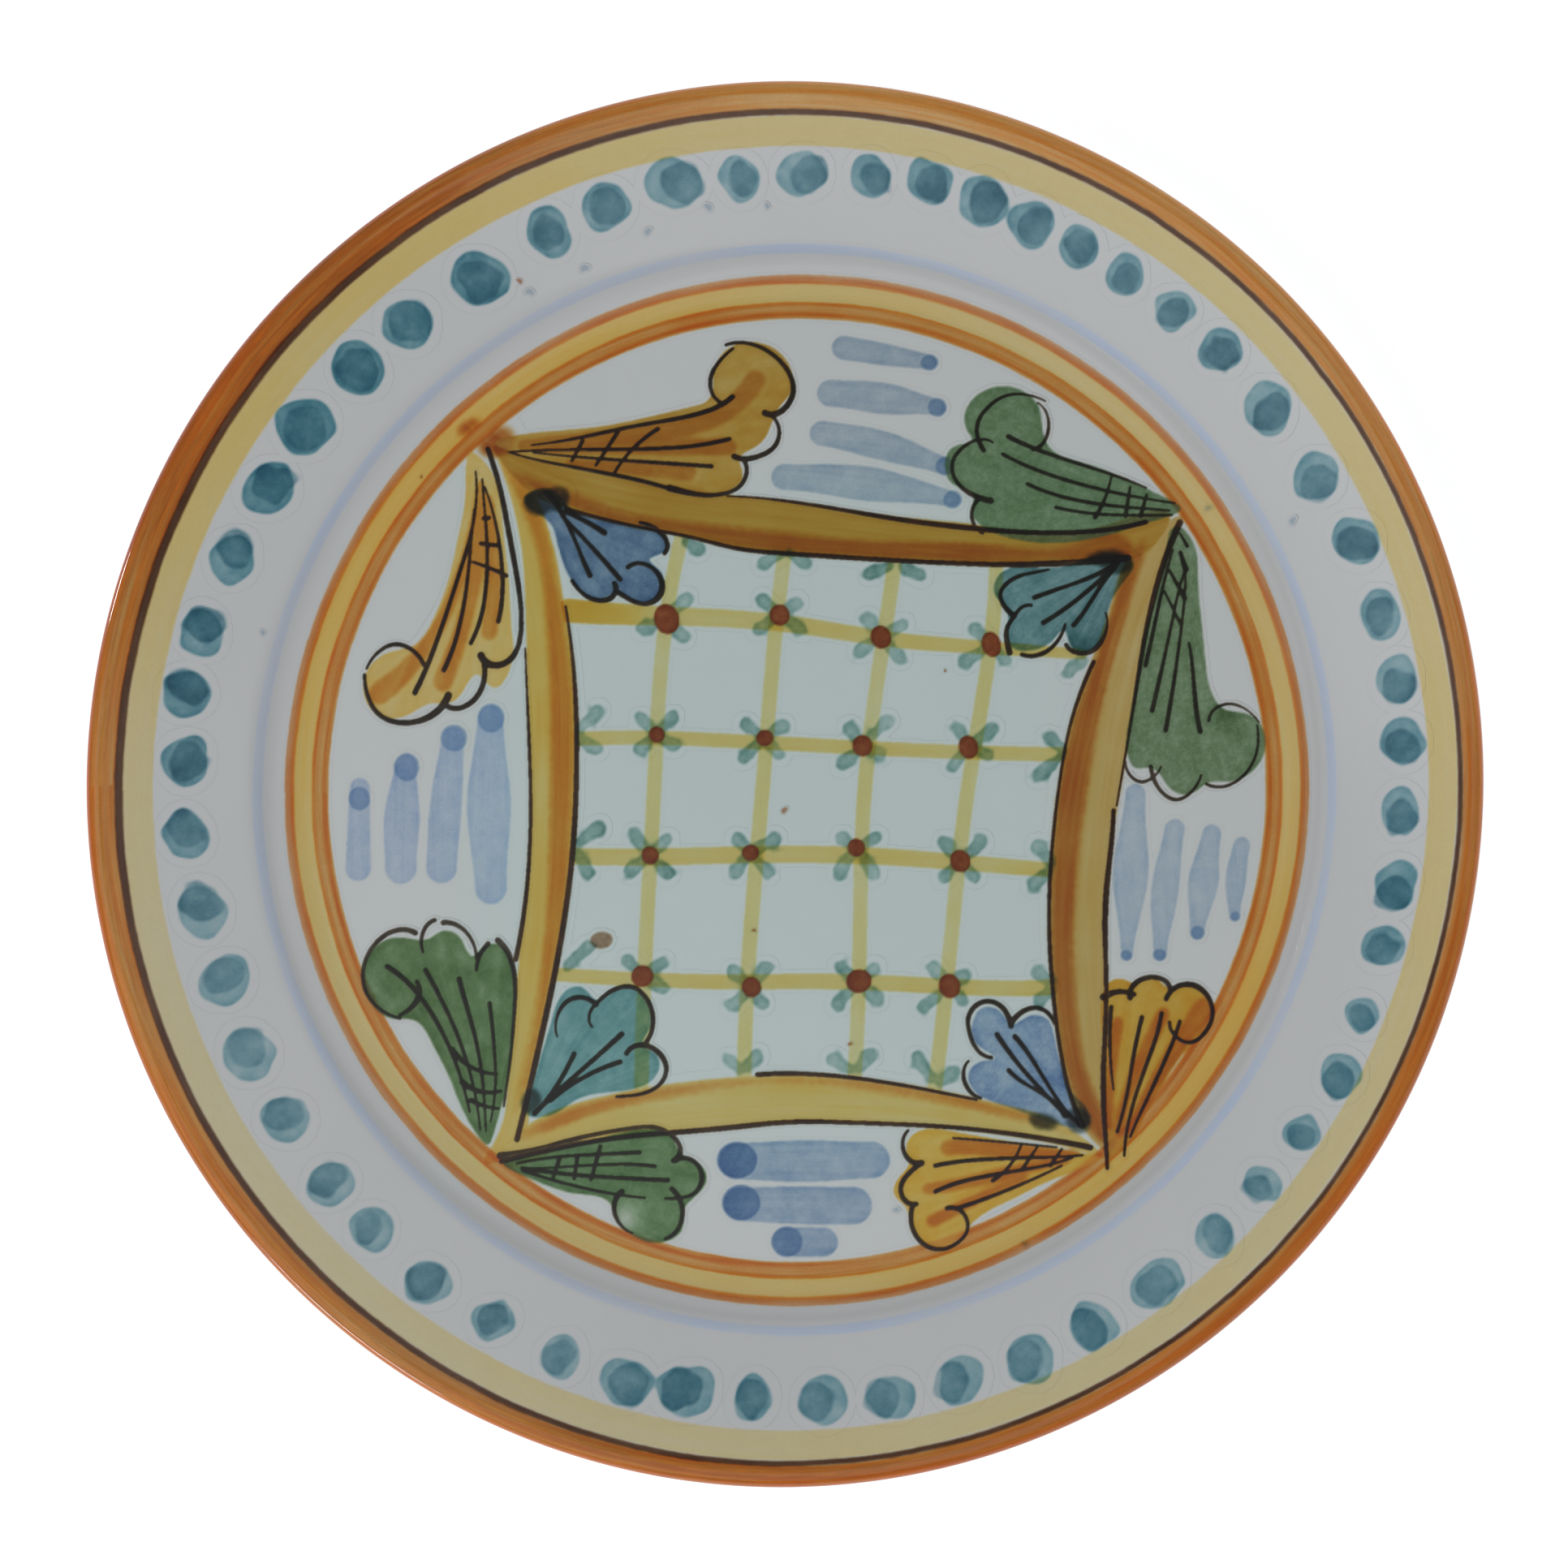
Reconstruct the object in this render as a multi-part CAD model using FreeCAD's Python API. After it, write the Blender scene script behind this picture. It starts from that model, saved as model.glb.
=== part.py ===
import FreeCAD
import Part
import math
import os

# Hand painted ceramic plate: a glazed earthenware dinner plate on a foot ring, banded rim,
# a ring of double dabs on the flange, and a framed lattice with corner plumes in the well.
# Millimetres, +Z up, origin at the centre of the table plane.  The plate lies face up.

# ---- driving dimensions ------------------------------------------------------------------
PLATE_D = 270.0         # over the rim
FLOOR_Z = 10.5          # top of the well floor
FLOOR_R = 94.0          # flat part of the well floor
WALL = 6.0              # body and glaze together, through the floor and the flange
GLAZE = 0.4             # glaze film
CAVETTO_R = 12.0        # concave arc from the floor to the steep part of the wall
CAVETTO_DEG = 48.0      # steepest slope of the wall
FLANGE_R = 10.0         # convex arc from the steep part to the flange
FLANGE_DEG = 24.0       # slope of the flange
LIP_R = 2.6             # rounded edge of the rim
FOOT_OUT_R = 80.0
FOOT_IN_R = 72.0
FOOT_RECESS_Z = 3.8     # height of the recess inside the foot ring
FOOT_FILLET = 1.5
FOOT_CHAMFER = 0.8
FOOT_BARE_Z = 1.2       # the glaze stops this far above the table
RIM_FACETS = 9          # the orange film round the lip is laid in this many narrow facets
RIM_FILM_R = 120.0      # the film is drawn from here out, then trimmed to the dark line
RIM_WRAP_DEG = 52.0     # how far the orange band runs round the lip, below its outermost point

BAND_CX, BAND_CY = 1.1, -0.75   # the bands were turned a little off the centre of the plate

ARC_FIT = 0.05          # how closely arcs follow a brushed outline

# Top of each coat of colour above the glaze: every coat is brushed over the coats before it.
COAT = (0.0, 0.10, 0.16, 0.22, 0.28, 0.34)

V = FreeCAD.Vector
UP = V(0, 0, 1)
RIM_R = PLATE_D / 2.0

# ---- section of the plate ----------------------------------------------------------------
C1 = (FLOOR_R, FLOOR_Z + CAVETTO_R)


def polar(centre, radius, deg):
    """Point at `deg` from straight down, measured towards +r."""
    a = math.radians(deg)
    return (centre[0] + radius * math.sin(a), centre[1] - radius * math.cos(a))


STEEP_END = polar(C1, CAVETTO_R, CAVETTO_DEG)
C2 = (STEEP_END[0] + FLANGE_R * math.sin(math.radians(CAVETTO_DEG)),
      STEEP_END[1] - FLANGE_R * math.cos(math.radians(CAVETTO_DEG)))
FLANGE_START = polar(C2, -FLANGE_R, FLANGE_DEG)
LIP_C_R = RIM_R - LIP_R
LIP_TOP_R = LIP_C_R - LIP_R * math.sin(math.radians(FLANGE_DEG))
LIP_TOP_Z = FLANGE_START[1] + (LIP_TOP_R - FLANGE_START[0]) * math.tan(math.radians(FLANGE_DEG))
LIP_C = (LIP_C_R, LIP_TOP_Z - LIP_R * math.cos(math.radians(FLANGE_DEG)))


def rz(p):
    return V(p[0], 0, p[1])


def line(a, b):
    return Part.makeLine(rz(a), rz(b))


def arc(centre, radius, deg0, deg1):
    pts = [rz(polar(centre, radius, d)) for d in (deg0, (deg0 + deg1) / 2.0, deg1)]
    return Part.Arc(*pts).toShape()


def section(off):
    """Closed half section; the glazed faces stand `off` inside the outer surface."""
    lip = LIP_R - off
    under_flange = FLANGE_R - WALL + off
    under_cavetto = CAVETTO_R + WALL - off
    fillet = FOOT_FILLET + off
    out_r, in_r = FOOT_OUT_R - off, FOOT_IN_R + off
    floor_under = FLOOR_Z - WALL + off
    recess = FOOT_RECESS_Z + off
    bare_out, bare_in = FOOT_OUT_R - GLAZE, FOOT_IN_R + GLAZE
    edges = [line((0, FLOOR_Z - off), polar(C1, CAVETTO_R + off, 0)),
             arc(C1, CAVETTO_R + off, 0, CAVETTO_DEG),
             arc(C2, -(FLANGE_R - off), CAVETTO_DEG, FLANGE_DEG),
             line(polar(C2, -(FLANGE_R - off), FLANGE_DEG), polar(LIP_C, -lip, FLANGE_DEG)),
             arc(LIP_C, lip, 180.0 + FLANGE_DEG, FLANGE_DEG),
             line(polar(LIP_C, lip, FLANGE_DEG), polar(C2, -under_flange, FLANGE_DEG)),
             arc(C2, -under_flange, FLANGE_DEG, CAVETTO_DEG),
             arc(C1, under_cavetto, CAVETTO_DEG, 0)]
    corner_out = (FOOT_OUT_R + FOOT_FILLET, FLOOR_Z - WALL - FOOT_FILLET)
    corner_in = (FOOT_IN_R - FOOT_FILLET, FOOT_RECESS_Z - FOOT_FILLET)
    path = [polar(C1, under_cavetto, 0), (corner_out[0], floor_under)]
    edges += [line(*path), arc(corner_out, fillet, 180, 270)]
    foot = [(out_r, corner_out[1]), (out_r, FOOT_BARE_Z), (bare_out, FOOT_BARE_Z),
            (bare_out - FOOT_CHAMFER, 0), (bare_in + FOOT_CHAMFER, 0),
            (bare_in, FOOT_BARE_Z), (in_r, FOOT_BARE_Z), (in_r, corner_in[1])]
    edges += [line(a, b) for a, b in zip(foot, foot[1:]) if math.dist(a, b) > 1e-6]
    edges += [arc(corner_in, fillet, 90, 180), line((corner_in[0], recess), (0, recess)),
              line((0, recess), (0, FLOOR_Z - off))]
    return Part.Wire(Part.__sortEdges__(edges))


def turn(wire):
    return Part.Face(wire).revolve(V(0, 0, 0), UP, 360)


def rim_film(high, lip_deg):
    """Skin over the outer flange that turns round the lip, `lip_deg` from its top, in facets."""
    slope = math.radians(FLANGE_DEG)
    facet = (lip_deg + FLANGE_DEG) / RIM_FACETS
    run = LIP_TOP_R - RIM_FILM_R
    start = (RIM_FILM_R, LIP_TOP_Z - run * math.tan(slope))
    sides = []
    for off in (0.0, high):
        r = LIP_R + off
        corner_r = r / math.cos(math.radians(facet / 2.0))
        side = [(start[0] - off * math.sin(slope), start[1] + off * math.cos(slope))]
        side += [polar(LIP_C, -corner_r, FLANGE_DEG - (k + 0.5) * facet) for k in range(RIM_FACETS)]
        side.append(polar(LIP_C, -r, FLANGE_DEG - RIM_FACETS * facet))
        sides.append(side)
    pts = sides[0] + sides[1][::-1]
    return turn(Part.Wire([line(a, b) for a, b in zip(pts, pts[1:] + pts[:1])]))


def wall_film(low, high):
    """Skin over the outer floor, the wall of the well and the start of the flange."""
    run = 12.0
    edges, starts, ends = [], [], []
    for off in (-low, -high):
        foot = polar(C1, CAVETTO_R + off, 0)
        top = polar(C2, -(FLANGE_R - off), FLANGE_DEG)
        starts.append((30.0, foot[1]))
        ends.append((top[0] + run, top[1] + run * math.tan(math.radians(FLANGE_DEG))))
        edges += [line(starts[-1], foot), arc(C1, CAVETTO_R + off, 0, CAVETTO_DEG),
                  arc(C2, -(FLANGE_R - off), CAVETTO_DEG, FLANGE_DEG), line(top, ends[-1])]
    return turn(Part.Wire(Part.__sortEdges__(edges + [line(*starts), line(*ends)])))


def flange_film(low, high):
    """Skin over the straight slope of the flange."""
    slope = math.tan(math.radians(FLANGE_DEG))
    pts = []
    for r, h in ((FLANGE_START[0] + 1.0, low), (LIP_TOP_R - 0.2, low),
                 (LIP_TOP_R - 0.2, high), (FLANGE_START[0] + 1.0, high)):
        rise = h / math.cos(math.radians(FLANGE_DEG))
        pts.append((r, FLANGE_START[1] + (r - FLANGE_START[0]) * slope + rise))
    return turn(Part.Wire([line(a, b) for a, b in zip(pts, pts[1:] + pts[:1])]))


# ---- brush marks, drawn in plan ----------------------------------------------------------
def flat(points):
    return [V(x, y, 0) for x, y in points]


def arcs_along(points, closed=False):
    """Arcs that follow a smooth curve through a few points, within ARC_FIT."""
    curve = Part.BSplineCurve()
    curve.interpolate(Points=points, PeriodicFlag=closed)
    return [piece.toShape() for piece in curve.toBiArcs(ARC_FIT)]


def blot(points):
    """Closed smooth outline through a few points."""
    return Part.Face(Part.Wire(Part.__sortEdges__(arcs_along(flat(points), True))))


def oval(x, y, a, b, deg=0.0):
    if abs(a - b) < 1e-6:
        return Part.Face(Part.Wire(Part.makeCircle(a, V(x, y, 0))))
    big, small, turn_deg = (a, b, deg) if a > b else (b, a, deg + 90.0)
    shape = Part.Ellipse(V(0, 0, 0), big, small).toShape()
    shape.rotate(V(0, 0, 0), UP, turn_deg)
    shape.translate(V(x, y, 0))
    return Part.Face(Part.Wire(shape))


def ring(outer, inner, cx=BAND_CX, cy=BAND_CY):
    rims = [Part.Wire(Part.makeCircle(r, V(cx, cy, 0))) for r in (outer, inner)]
    return Part.Face(rims[0]).cut(Part.Face(rims[1])).Faces[0]


def stroke(points, *widths):
    """One pull of the brush: a centre line, with widths spread evenly from start to end."""
    widths = widths if len(widths) > 1 else (widths[0], widths[0])
    curve = Part.BSplineCurve()
    curve.interpolate(Points=flat(points))
    length = curve.length()
    count = 2 if len(points) == 2 and len(widths) == 2 else max(5, 2 * len(points) - 1)
    sides = ([], [])
    ends = []
    for i in range(count):
        s = i / (count - 1.0)
        u = curve.parameterAtDistance(s * length)
        p = curve.value(u)
        t = V(*curve.tangent(u)[0])
        w = s * (len(widths) - 1)
        k = min(int(w), len(widths) - 2)
        half = (widths[k] + (widths[k + 1] - widths[k]) * (w - k)) / 2.0
        n = V(-t.y, t.x, 0) * half
        sides[0].append(p + n)
        sides[1].append(p - n)
        if i in (0, count - 1):
            ends.append(p + t * (half if i else -half))
    curves = []
    for side in sides:
        straight = count == 2
        curves += [Part.makeLine(side[0], side[1])] if straight else arcs_along(side)
    caps = [Part.Arc(sides[0][k], ends[k], sides[1][k]).toShape() for k in (0, -1)]
    return Part.Face(Part.Wire(Part.__sortEdges__(curves + caps)))


def clock(deg, radius, cx=0.0, cy=0.0):
    """Position on the flange, in degrees clockwise from the top of the picture."""
    a = math.radians(90.0 - deg)
    return cx + radius * math.cos(a), cy + radius * math.sin(a)


# ---- laying the coats down ---------------------------------------------------------------
films = {}
covers = [[] for coat in COAT]      # flat outlines already painted, by coat
nodes = {}                          # node name -> list of solids


def spread(face):
    """Box of a flat mark, and its nearest and farthest reach from the bands' centre."""
    far = [math.hypot(p.x - BAND_CX, p.y - BAND_CY) for p in face.OuterWire.discretize(Number=48)]
    hollow = len(face.Wires) > 1
    inner = face.Wires[1].BoundBox.XLength / 2.0 if hollow else min(far)
    return face.BoundBox, inner, max(far), hollow


def overlaps(a, b):
    """False where two marks are plainly apart."""
    if a[3] or b[3]:
        return a[1] < b[2] + 0.1 and b[1] < a[2] + 0.1
    return a[0].intersect(b[0])


def solids_on(face, low, high):
    """Thin solid over a flat outline, from one coat height to another, laid on the glaze."""
    box, near, far, hollow = spread(face)
    if far < FLOOR_R - 1.4:
        solid = face.extrude(V(0, 0, high - low))
        solid.translate(V(0, 0, FLOOR_Z + low))
        return [solid]
    kind = flange_film if near > FLANGE_START[0] + 2.5 else wall_film
    if (kind, low, high) not in films:
        films[kind, low, high] = kind(low, high)
    return face.extrude(V(0, 0, 40)).common(films[kind, low, high]).Solids


def joined(faces):
    if len(faces) == 1:
        return faces
    return faces[0].multiFuse(faces[1:]).removeSplitter().Faces


def paint(node, coat, faces):
    """Brush the marks of one node over whatever is under them."""
    made = nodes.setdefault(node, [])
    whole = joined(faces)
    for face in whole:
        size = spread(face)
        bare = [face]
        for under in range(coat, 0, -1):
            marks = [f for f, other in covers[under] if overlaps(size, other)]
            if not marks:
                continue
            if under < coat:
                over = [g for f in bare for g in f.common(marks).Faces if g.Area > 0.03]
                for g in over:
                    made += solids_on(g, COAT[under], COAT[coat])
            bare = [g for f in bare for g in f.cut(marks).Faces if g.Area > 0.03]
        for g in bare:
            made += solids_on(g, 0.0, COAT[coat])
    covers[coat] += [(face, spread(face)) for face in whole]


# ---- body and glaze ----------------------------------------------------------------------
outer = turn(section(0.0))
core = turn(section(GLAZE))
skins = sorted(outer.cut(core).Solids, key=lambda s: -s.Volume)
nodes["bisque_body"] = core.Solids
nodes["glaze_coat"] = [skins[0]]
nodes["foot_recess_glaze"] = [skins[1]]

# ---- bands on the rim and round the well --------------------------------------------------
DARK_LINE = (130.1, 129.2)
RIM_YELLOW = (129.0, 123.4)
BLUE_LINE = (105.4, 103.6)
WELL_OUTER = (99.8, 98.0)
WELL_YELLOW = (98.6, 94.2)
WELL_INNER = (94.6, 91.3)

orange = rim_film(COAT[1], 90.0 + RIM_WRAP_DEG)
inside = Part.makeCylinder(DARK_LINE[0] + 0.1, 60, V(BAND_CX, BAND_CY, 0))
nodes["rim_orange_band"] = orange.cut(inside).Solids
paint("rim_dark_line", 1, [ring(*DARK_LINE)])
paint("rim_yellow_band", 1, [ring(*RIM_YELLOW)])
paint("flange_blue_line", 1, [ring(*BLUE_LINE)])
paint("well_ring_yellow", 1, [ring(*WELL_YELLOW)])
paint("well_ring_outer_line", 2, [ring(*WELL_OUTER)])
paint("well_ring_inner_line", 2, [ring(*WELL_INNER)])

# ---- ring of teal dots: clock angle, radius, half width, half height, shift of second dab --
DOTS = [
    (1.9, 117.6, 4.8, 4.3, 1.6), (8.4, 118.1, 3.6, 4.3, 0.9), (14.0, 119.0, 4.7, 4.0, 0.6),
    (19.3, 118.2, 4.8, 4.8, 0.9), (24.4, 117.7, 4.3, 4.6, 0.7), (29.3, 117.9, 3.9, 4.1, 0.3),
    (34.4, 117.5, 3.8, 3.8, 0.5), (40.1, 117.7, 3.9, 3.9, 0.5), (45.8, 118.2, 4.0, 4.4, 0.5),
    (52.8, 117.9, 5.0, 4.7, 1.2), (60.7, 118.3, 4.6, 4.5, 1.2), (67.6, 119.7, 4.8, 4.4, 0.8),
    (74.8, 119.7, 4.5, 3.8, 0.4), (80.9, 120.0, 4.6, 4.1, 1.2), (86.6, 119.8, 4.8, 4.1, 1.0),
    (92.9, 119.3, 4.3, 4.0, 1.3), (99.7, 119.8, 4.7, 4.0, 1.8), (105.4, 120.0, 4.1, 4.1, 0.8),
    (111.9, 120.2, 3.3, 3.6, 0.5), (117.7, 121.4, 4.1, 4.2, 1.2), (123.9, 120.7, 3.4, 3.7, 0.5),
    (129.7, 120.5, 3.6, 3.8, 1.3), (136.2, 120.8, 4.2, 4.3, -0.6), (143.0, 120.4, 5.3, 4.5, 0.5),
    (150.0, 120.3, 4.5, 4.8, 1.0), (156.4, 120.6, 4.9, 4.7, 1.4), (163.1, 119.6, 4.6, 4.8, 1.6),
    (169.7, 119.6, 4.6, 4.4, 1.8), (176.0, 118.8, 4.6, 4.9, 1.8), (182.6, 118.3, 3.9, 4.4, 0.5),
    (188.9, 118.1, 5.4, 5.1, 1.0), (194.6, 118.9, 5.0, 4.7, -0.4), (201.1, 118.2, 4.2, 4.1, 0.4),
    (208.4, 117.3, 4.0, 3.7, 0.3), (215.5, 117.9, 4.5, 4.3, 0.7), (222.9, 117.1, 4.1, 4.0, 0.7),
    (228.8, 116.7, 4.3, 4.3, 0.6), (236.2, 116.1, 4.6, 4.4, 1.2), (243.5, 116.0, 5.2, 4.9, 1.4),
    (250.9, 115.1, 4.8, 4.9, 0.8), (257.9, 115.7, 5.4, 4.3, 2.0), (265.4, 116.6, 4.8, 4.2, 0.8),
    (272.4, 116.4, 4.9, 4.4, -0.3), (278.8, 117.7, 4.8, 4.3, 1.4), (284.8, 117.1, 4.7, 4.0, 1.6),
    (292.3, 116.0, 4.7, 4.2, 1.8), (299.9, 115.6, 5.3, 4.6, 1.2), (306.9, 116.3, 5.9, 5.0, -0.3),
    (314.4, 115.7, 4.8, 5.2, -0.3), (320.8, 115.4, 4.9, 5.0, 0.8), (328.9, 114.5, 5.4, 5.0, 0.0),
    (337.0, 116.2, 4.5, 4.4, 0.0), (342.9, 116.7, 4.8, 4.6, 0.3), (349.7, 117.9, 5.3, 4.7, 2.0),
    (356.0, 117.0, 4.0, 4.2, 0.4)]


def dab(deg, radius, half_t, half_r, seed):
    """A soft four sided oval: the brush was pressed down and lifted."""
    x, y = clock(deg, radius)
    pts = []
    for k in range(8):
        a = math.radians(45.0 * k)
        swell = 1.0 + 0.05 * math.sin(1.7 * seed + 2.0 * a) + 0.035 * math.cos(2.3 * seed + 3.0 * a)
        u, v = half_t * swell * math.cos(a), half_r * swell * math.sin(a)
        t = math.radians(-deg)
        pts.append((x + u * math.cos(t) - v * math.sin(t), y + u * math.sin(t) + v * math.cos(t)))
    return blot(pts)


first, second = [], []
for i, (deg, radius, half_t, half_r, shift) in enumerate(DOTS):
    first.append(dab(deg, radius, half_t, half_r, i))
    across = math.degrees(shift / radius)
    second.append(dab(deg + across, radius - 0.1, 0.74 * half_t, 0.82 * half_r, i + 100))
paint("flange_dots_first_dab", 2, first)
paint("flange_dots_second_dab", 3, second)
print("bands and dots done")

# ---- the frame round the lattice ----------------------------------------------------------
FRAME = {
    "north": ([(-57, 66.5), (-45, 62.5), (-33, 60), (-20, 57.5), (0, 55), (20, 52), (40, 49.6),
               (58, 48.8), (74, 51.5), (70, 45), (58, 42.9), (45, 42.4), (30, 42.9), (15, 43.8),
               (0, 44.9), (-10, 46), (-20, 48.4), (-30, 50.2), (-40, 53), (-47, 55.4), (-52, 58.5)],
              [(-56.5, 64), (-50, 60), (-43, 57.3), (-33, 53.4), (-20, 51.2), (0, 48.6), (20, 47), (40, 46.2),
               (55, 46.2), (66, 47), (67, 45), (57, 43.4), (45, 43), (30, 43.5), (15, 44.4),
               (0, 45.5), (-10, 46.6), (-20, 49), (-30, 50.8), (-40, 53.7), (-46.5, 56), (-51.5, 59)]),
    "east": ([(76.3, 50.8), (73.6, 44), (70.8, 36), (68.5, 25), (66.7, 15), (65.5, 5), (63.8, -5),
              (62, -17), (61.4, -30), (61.4, -44), (61, -56), (62, -71), (58, -67.5),
              (55, -61), (52.7, -52), (51.4, -42), (50.6, -30), (50.6, -18), (51.6, -6),
              (53.3, 5), (55.6, 14), (59, 24), (62.5, 34), (66.5, 45), (71, 49)],
             [(70, 48), (67.5, 40), (64.5, 29), (61.5, 18), (59, 6), (57, -7), (55.6, -20),
              (55.2, -34), (56.2, -47), (59, -59), (63, -70.5), (58.2, -66.3), (55.8, -61),
              (53.4, -52), (52, -42), (51.2, -30), (51.2, -18), (52.2, -6), (53.9, 5),
              (56.2, 14), (59.6, 24), (63.1, 34), (67, 44.6)]),
    "south": ([(60.5, -72), (50, -69.1), (38, -67.2), (25, -65.9), (10, -65.2), (-3, -65.3),
               (-15, -66.2), (-28, -67.3), (-40, -69.2), (-57, -72), (-52, -66.5), (-44, -62.2),
               (-35, -59.8), (-25, -58), (-15, -56.8), (-3, -56.1), (10, -56.3), (22, -57.7),
               (34, -60), (45, -62.6), (53, -65.5)],
              [(57, -68), (48, -65.5), (36, -62.6), (24, -60.3), (10, -58.2), (-3, -57.6),
               (-15, -58.8), (-27, -60.8), (-38, -63.3), (-48, -67), (-54, -68.3), (-50, -66),
               (-43, -62.7), (-35, -60.4), (-25, -58.6), (-15, -57.3), (-3, -56.6),
               (10, -56.8), (22, -58.2), (34, -60.5), (45, -63.1), (53, -66)]),
    "west": ([(-57.5, 65), (-54.3, 56), (-52.2, 46), (-51.4, 34), (-51, 20), (-50.4, 8), (-50.4, -6),
              (-51, -18), (-52.4, -30), (-53.4, -42), (-54.8, -56), (-57.5, -69), (-59.5, -73), (-54, -71),
              (-50.6, -58), (-48.2, -49), (-45.8, -38), (-43.6, -26), (-42.2, -13),
              (-41.6, 0), (-41.5, 13), (-42.3, 25), (-44, 36), (-45.8, 46), (-48.3, 54), (-52, 60.5)],
             [(-57, 64.3), (-52, 54), (-49, 45), (-47.4, 33), (-46.6, 20), (-46.4, 8),
              (-46.6, -5), (-46.8, -17), (-47.4, -28), (-48.8, -40), (-51, -52), (-53.8, -65),
              (-51.2, -58), (-48.8, -49), (-46.4, -38), (-44.2, -26), (-42.8, -13), (-42.2, 0),
              (-42.1, 13), (-42.9, 25), (-44.6, 36), (-46.5, 46), (-49.2, 55), (-52.6, 60.5)]),
}
for side, (wide, narrow) in FRAME.items():
    paint("frame_yellow_" + side, 1, [blot(wide)])
CORNER_SMEAR = [(-64.5, 70.5), (-60, 72), (-55.5, 70.6), (-53.5, 67.6), (-55.4, 64.8), (-59.5, 64.8),
                (-63, 66.6)]
for side, (wide, narrow) in FRAME.items():
    smear = [blot(CORNER_SMEAR)] if side == "north" else []
    paint("frame_orange_" + side, 2, [blot(narrow)] + smear)

# ---- the lattice and its florets ----------------------------------------------------------
LINE_W = 2.8
VERTICALS = [[(-20.7, 49), (-24.2, 30), (-26.2, 0), (-27.8, -30), (-28.7, -58.5)],
             [(-0.6, 46), (-2.5, 30), (-5, 0), (-7.5, -30), (-8.6, -57)],
             [(20.8, 43.8), (18.8, 30), (14.9, 0), (13.9, -30), (12.8, -57)],
             [(40.4, 41.5), (39.3, 27), (35, 0), (31.6, -30), (28.4, -59)]]
HORIZONTALS = [([(-43, 34.2), (-24, 33), (-2, 31.6), (18, 28.4), (39, 26.4), (57, 25)],
                (4.6, 3.6, 3.3, 3.0, 2.6, 2.0)),
               ([(-41, 9.3), (-25, 9.3), (-4, 8.3), (14, 7.2), (35, 6.2), (53.5, 5.7)], (2.7, 2.7)),
               ([(-42, -13.5), (-27, -13.7), (-8, -13.4), (13, -13.6), (33, -15), (51, -16.6)],
                (3.2, 3.3, 2.8)),
               ([(-46, -36.3), (-28, -37.5), (-7, -38), (13, -38), (31, -39), (51, -39.2)],
                (2.6, 3.0, 3.0))]
# centre, half width, half height, and the far ends of its petals
FLORETS = [
    ((-23.8, 32.4), 2.4, 2.9, [(-20, 36.3), (-28.3, 30.6), (-20.6, 29)]),
    ((-1.7, 33), 1.9, 2.0, [(1.5, 35.4), (-5, 36), (-6, 30.3), (2.6, 30.1)]),
    ((18, 28.6), 1.9, 2.2, [(22.3, 31), (15.5, 32), (14, 26), (21.7, 24.7)]),
    ((39.5, 27), 1.8, 2.4, [(36.5, 30), (34.2, 23.6), (42, 24)]),
    ((-25.7, 10), 1.5, 1.5, [(-22.6, 13.4), (-28.7, 12.9), (-28.9, 7.2), (-22.4, 7.9)]),
    ((-4.6, 9.2), 1.6, 1.5, [(-1.2, 11.4), (-8.4, 11.9), (-9, 5.3), (-1.8, 6)]),
    ((14.4, 7.6), 1.9, 2.0, [(19.2, 12.4), (12, 11), (10.5, 4), (17.6, 6)]),
    ((35, 7.2), 1.8, 2.2, [(39.6, 10.7), (33, 10.7), (32, 3.6), (39, 5.5)]),
    ((-27, -13.4), 1.6, 1.7, [(-23.6, -10.3), (-30, -9.4), (-30.8, -16.4), (-23.5, -16.8)]),
    ((-7.4, -13), 1.6, 1.5, [(-2.7, -10.4), (-10, -10.4), (-10.4, -16.8), (-4, -17)]),
    ((13.2, -12.1), 1.6, 1.7, [(17.2, -10.1), (10.4, -10.1), (10, -16.8), (16.6, -17)]),
    ((33.4, -14.8), 1.9, 2.1, [(37.3, -11.2), (30.4, -11.2), (30.1, -18), (36.2, -17.8)]),
    ((-28.5, -36.8), 2.1, 2.0, [(-24.5, -34), (-31.2, -33.8), (-24.8, -38.9)]),
    ((-7.2, -39), 1.8, 1.9, [(-4.4, -35.4), (-10.6, -36), (-11, -42.6), (-5, -42.2)]),
    ((13.7, -37.9), 2.4, 2.2, [(16.8, -35.3), (10, -35), (9.5, -42.3), (17, -41.3)]),
    ((31.3, -38.9), 2.0, 2.3, [(34, -37), (28.3, -35.6), (26.2, -42.8), (34, -41.8)])]
# where a lattice line runs out at the frame: root and petal ends
HALF_FLORETS = [
    ((-21, 48), [(-17.7, 45.9)]), ((-0.5, 45.4), [(-4.8, 43.1), (3, 43.2)]),
    ((21, 42.8), [(16, 40.9), (25.8, 40.4)]), ((-42, 9.8), [(-37.2, 14.7), (-37.6, 7.4)]),
    ((-42, -11.5), [(-37, -8), (-39.3, -16.5)]), ((-44.5, -36), [(-39, -31.2)]),
    ((54.2, 6.4), [(50.6, 8.9), (48.6, 1.6)]), ((51.6, -16), [(48.5, -12), (47.6, -19.4)]),
    ((52, -39), [(48.6, -36.4), (48.6, -42)]), ((-8.4, -55.6), [(-11.5, -53), (-6.2, -52.2)]),
    ((13, -55.8), [(8.7, -53), (15.8, -52.2)]), ((28.6, -57.8), [(25, -53), (32.4, -55.6)]),
    ((58.5, 24.5), [(54.5, 21.7)])]


def petal(root, tip, width):
    """A short press of a small round brush: narrow at the root, full at the end."""
    dx, dy = tip[0] - root[0], tip[1] - root[1]
    start = (root[0] + 0.22 * dx, root[1] + 0.22 * dy)
    return stroke([start, tip], 1.3, width)


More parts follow.
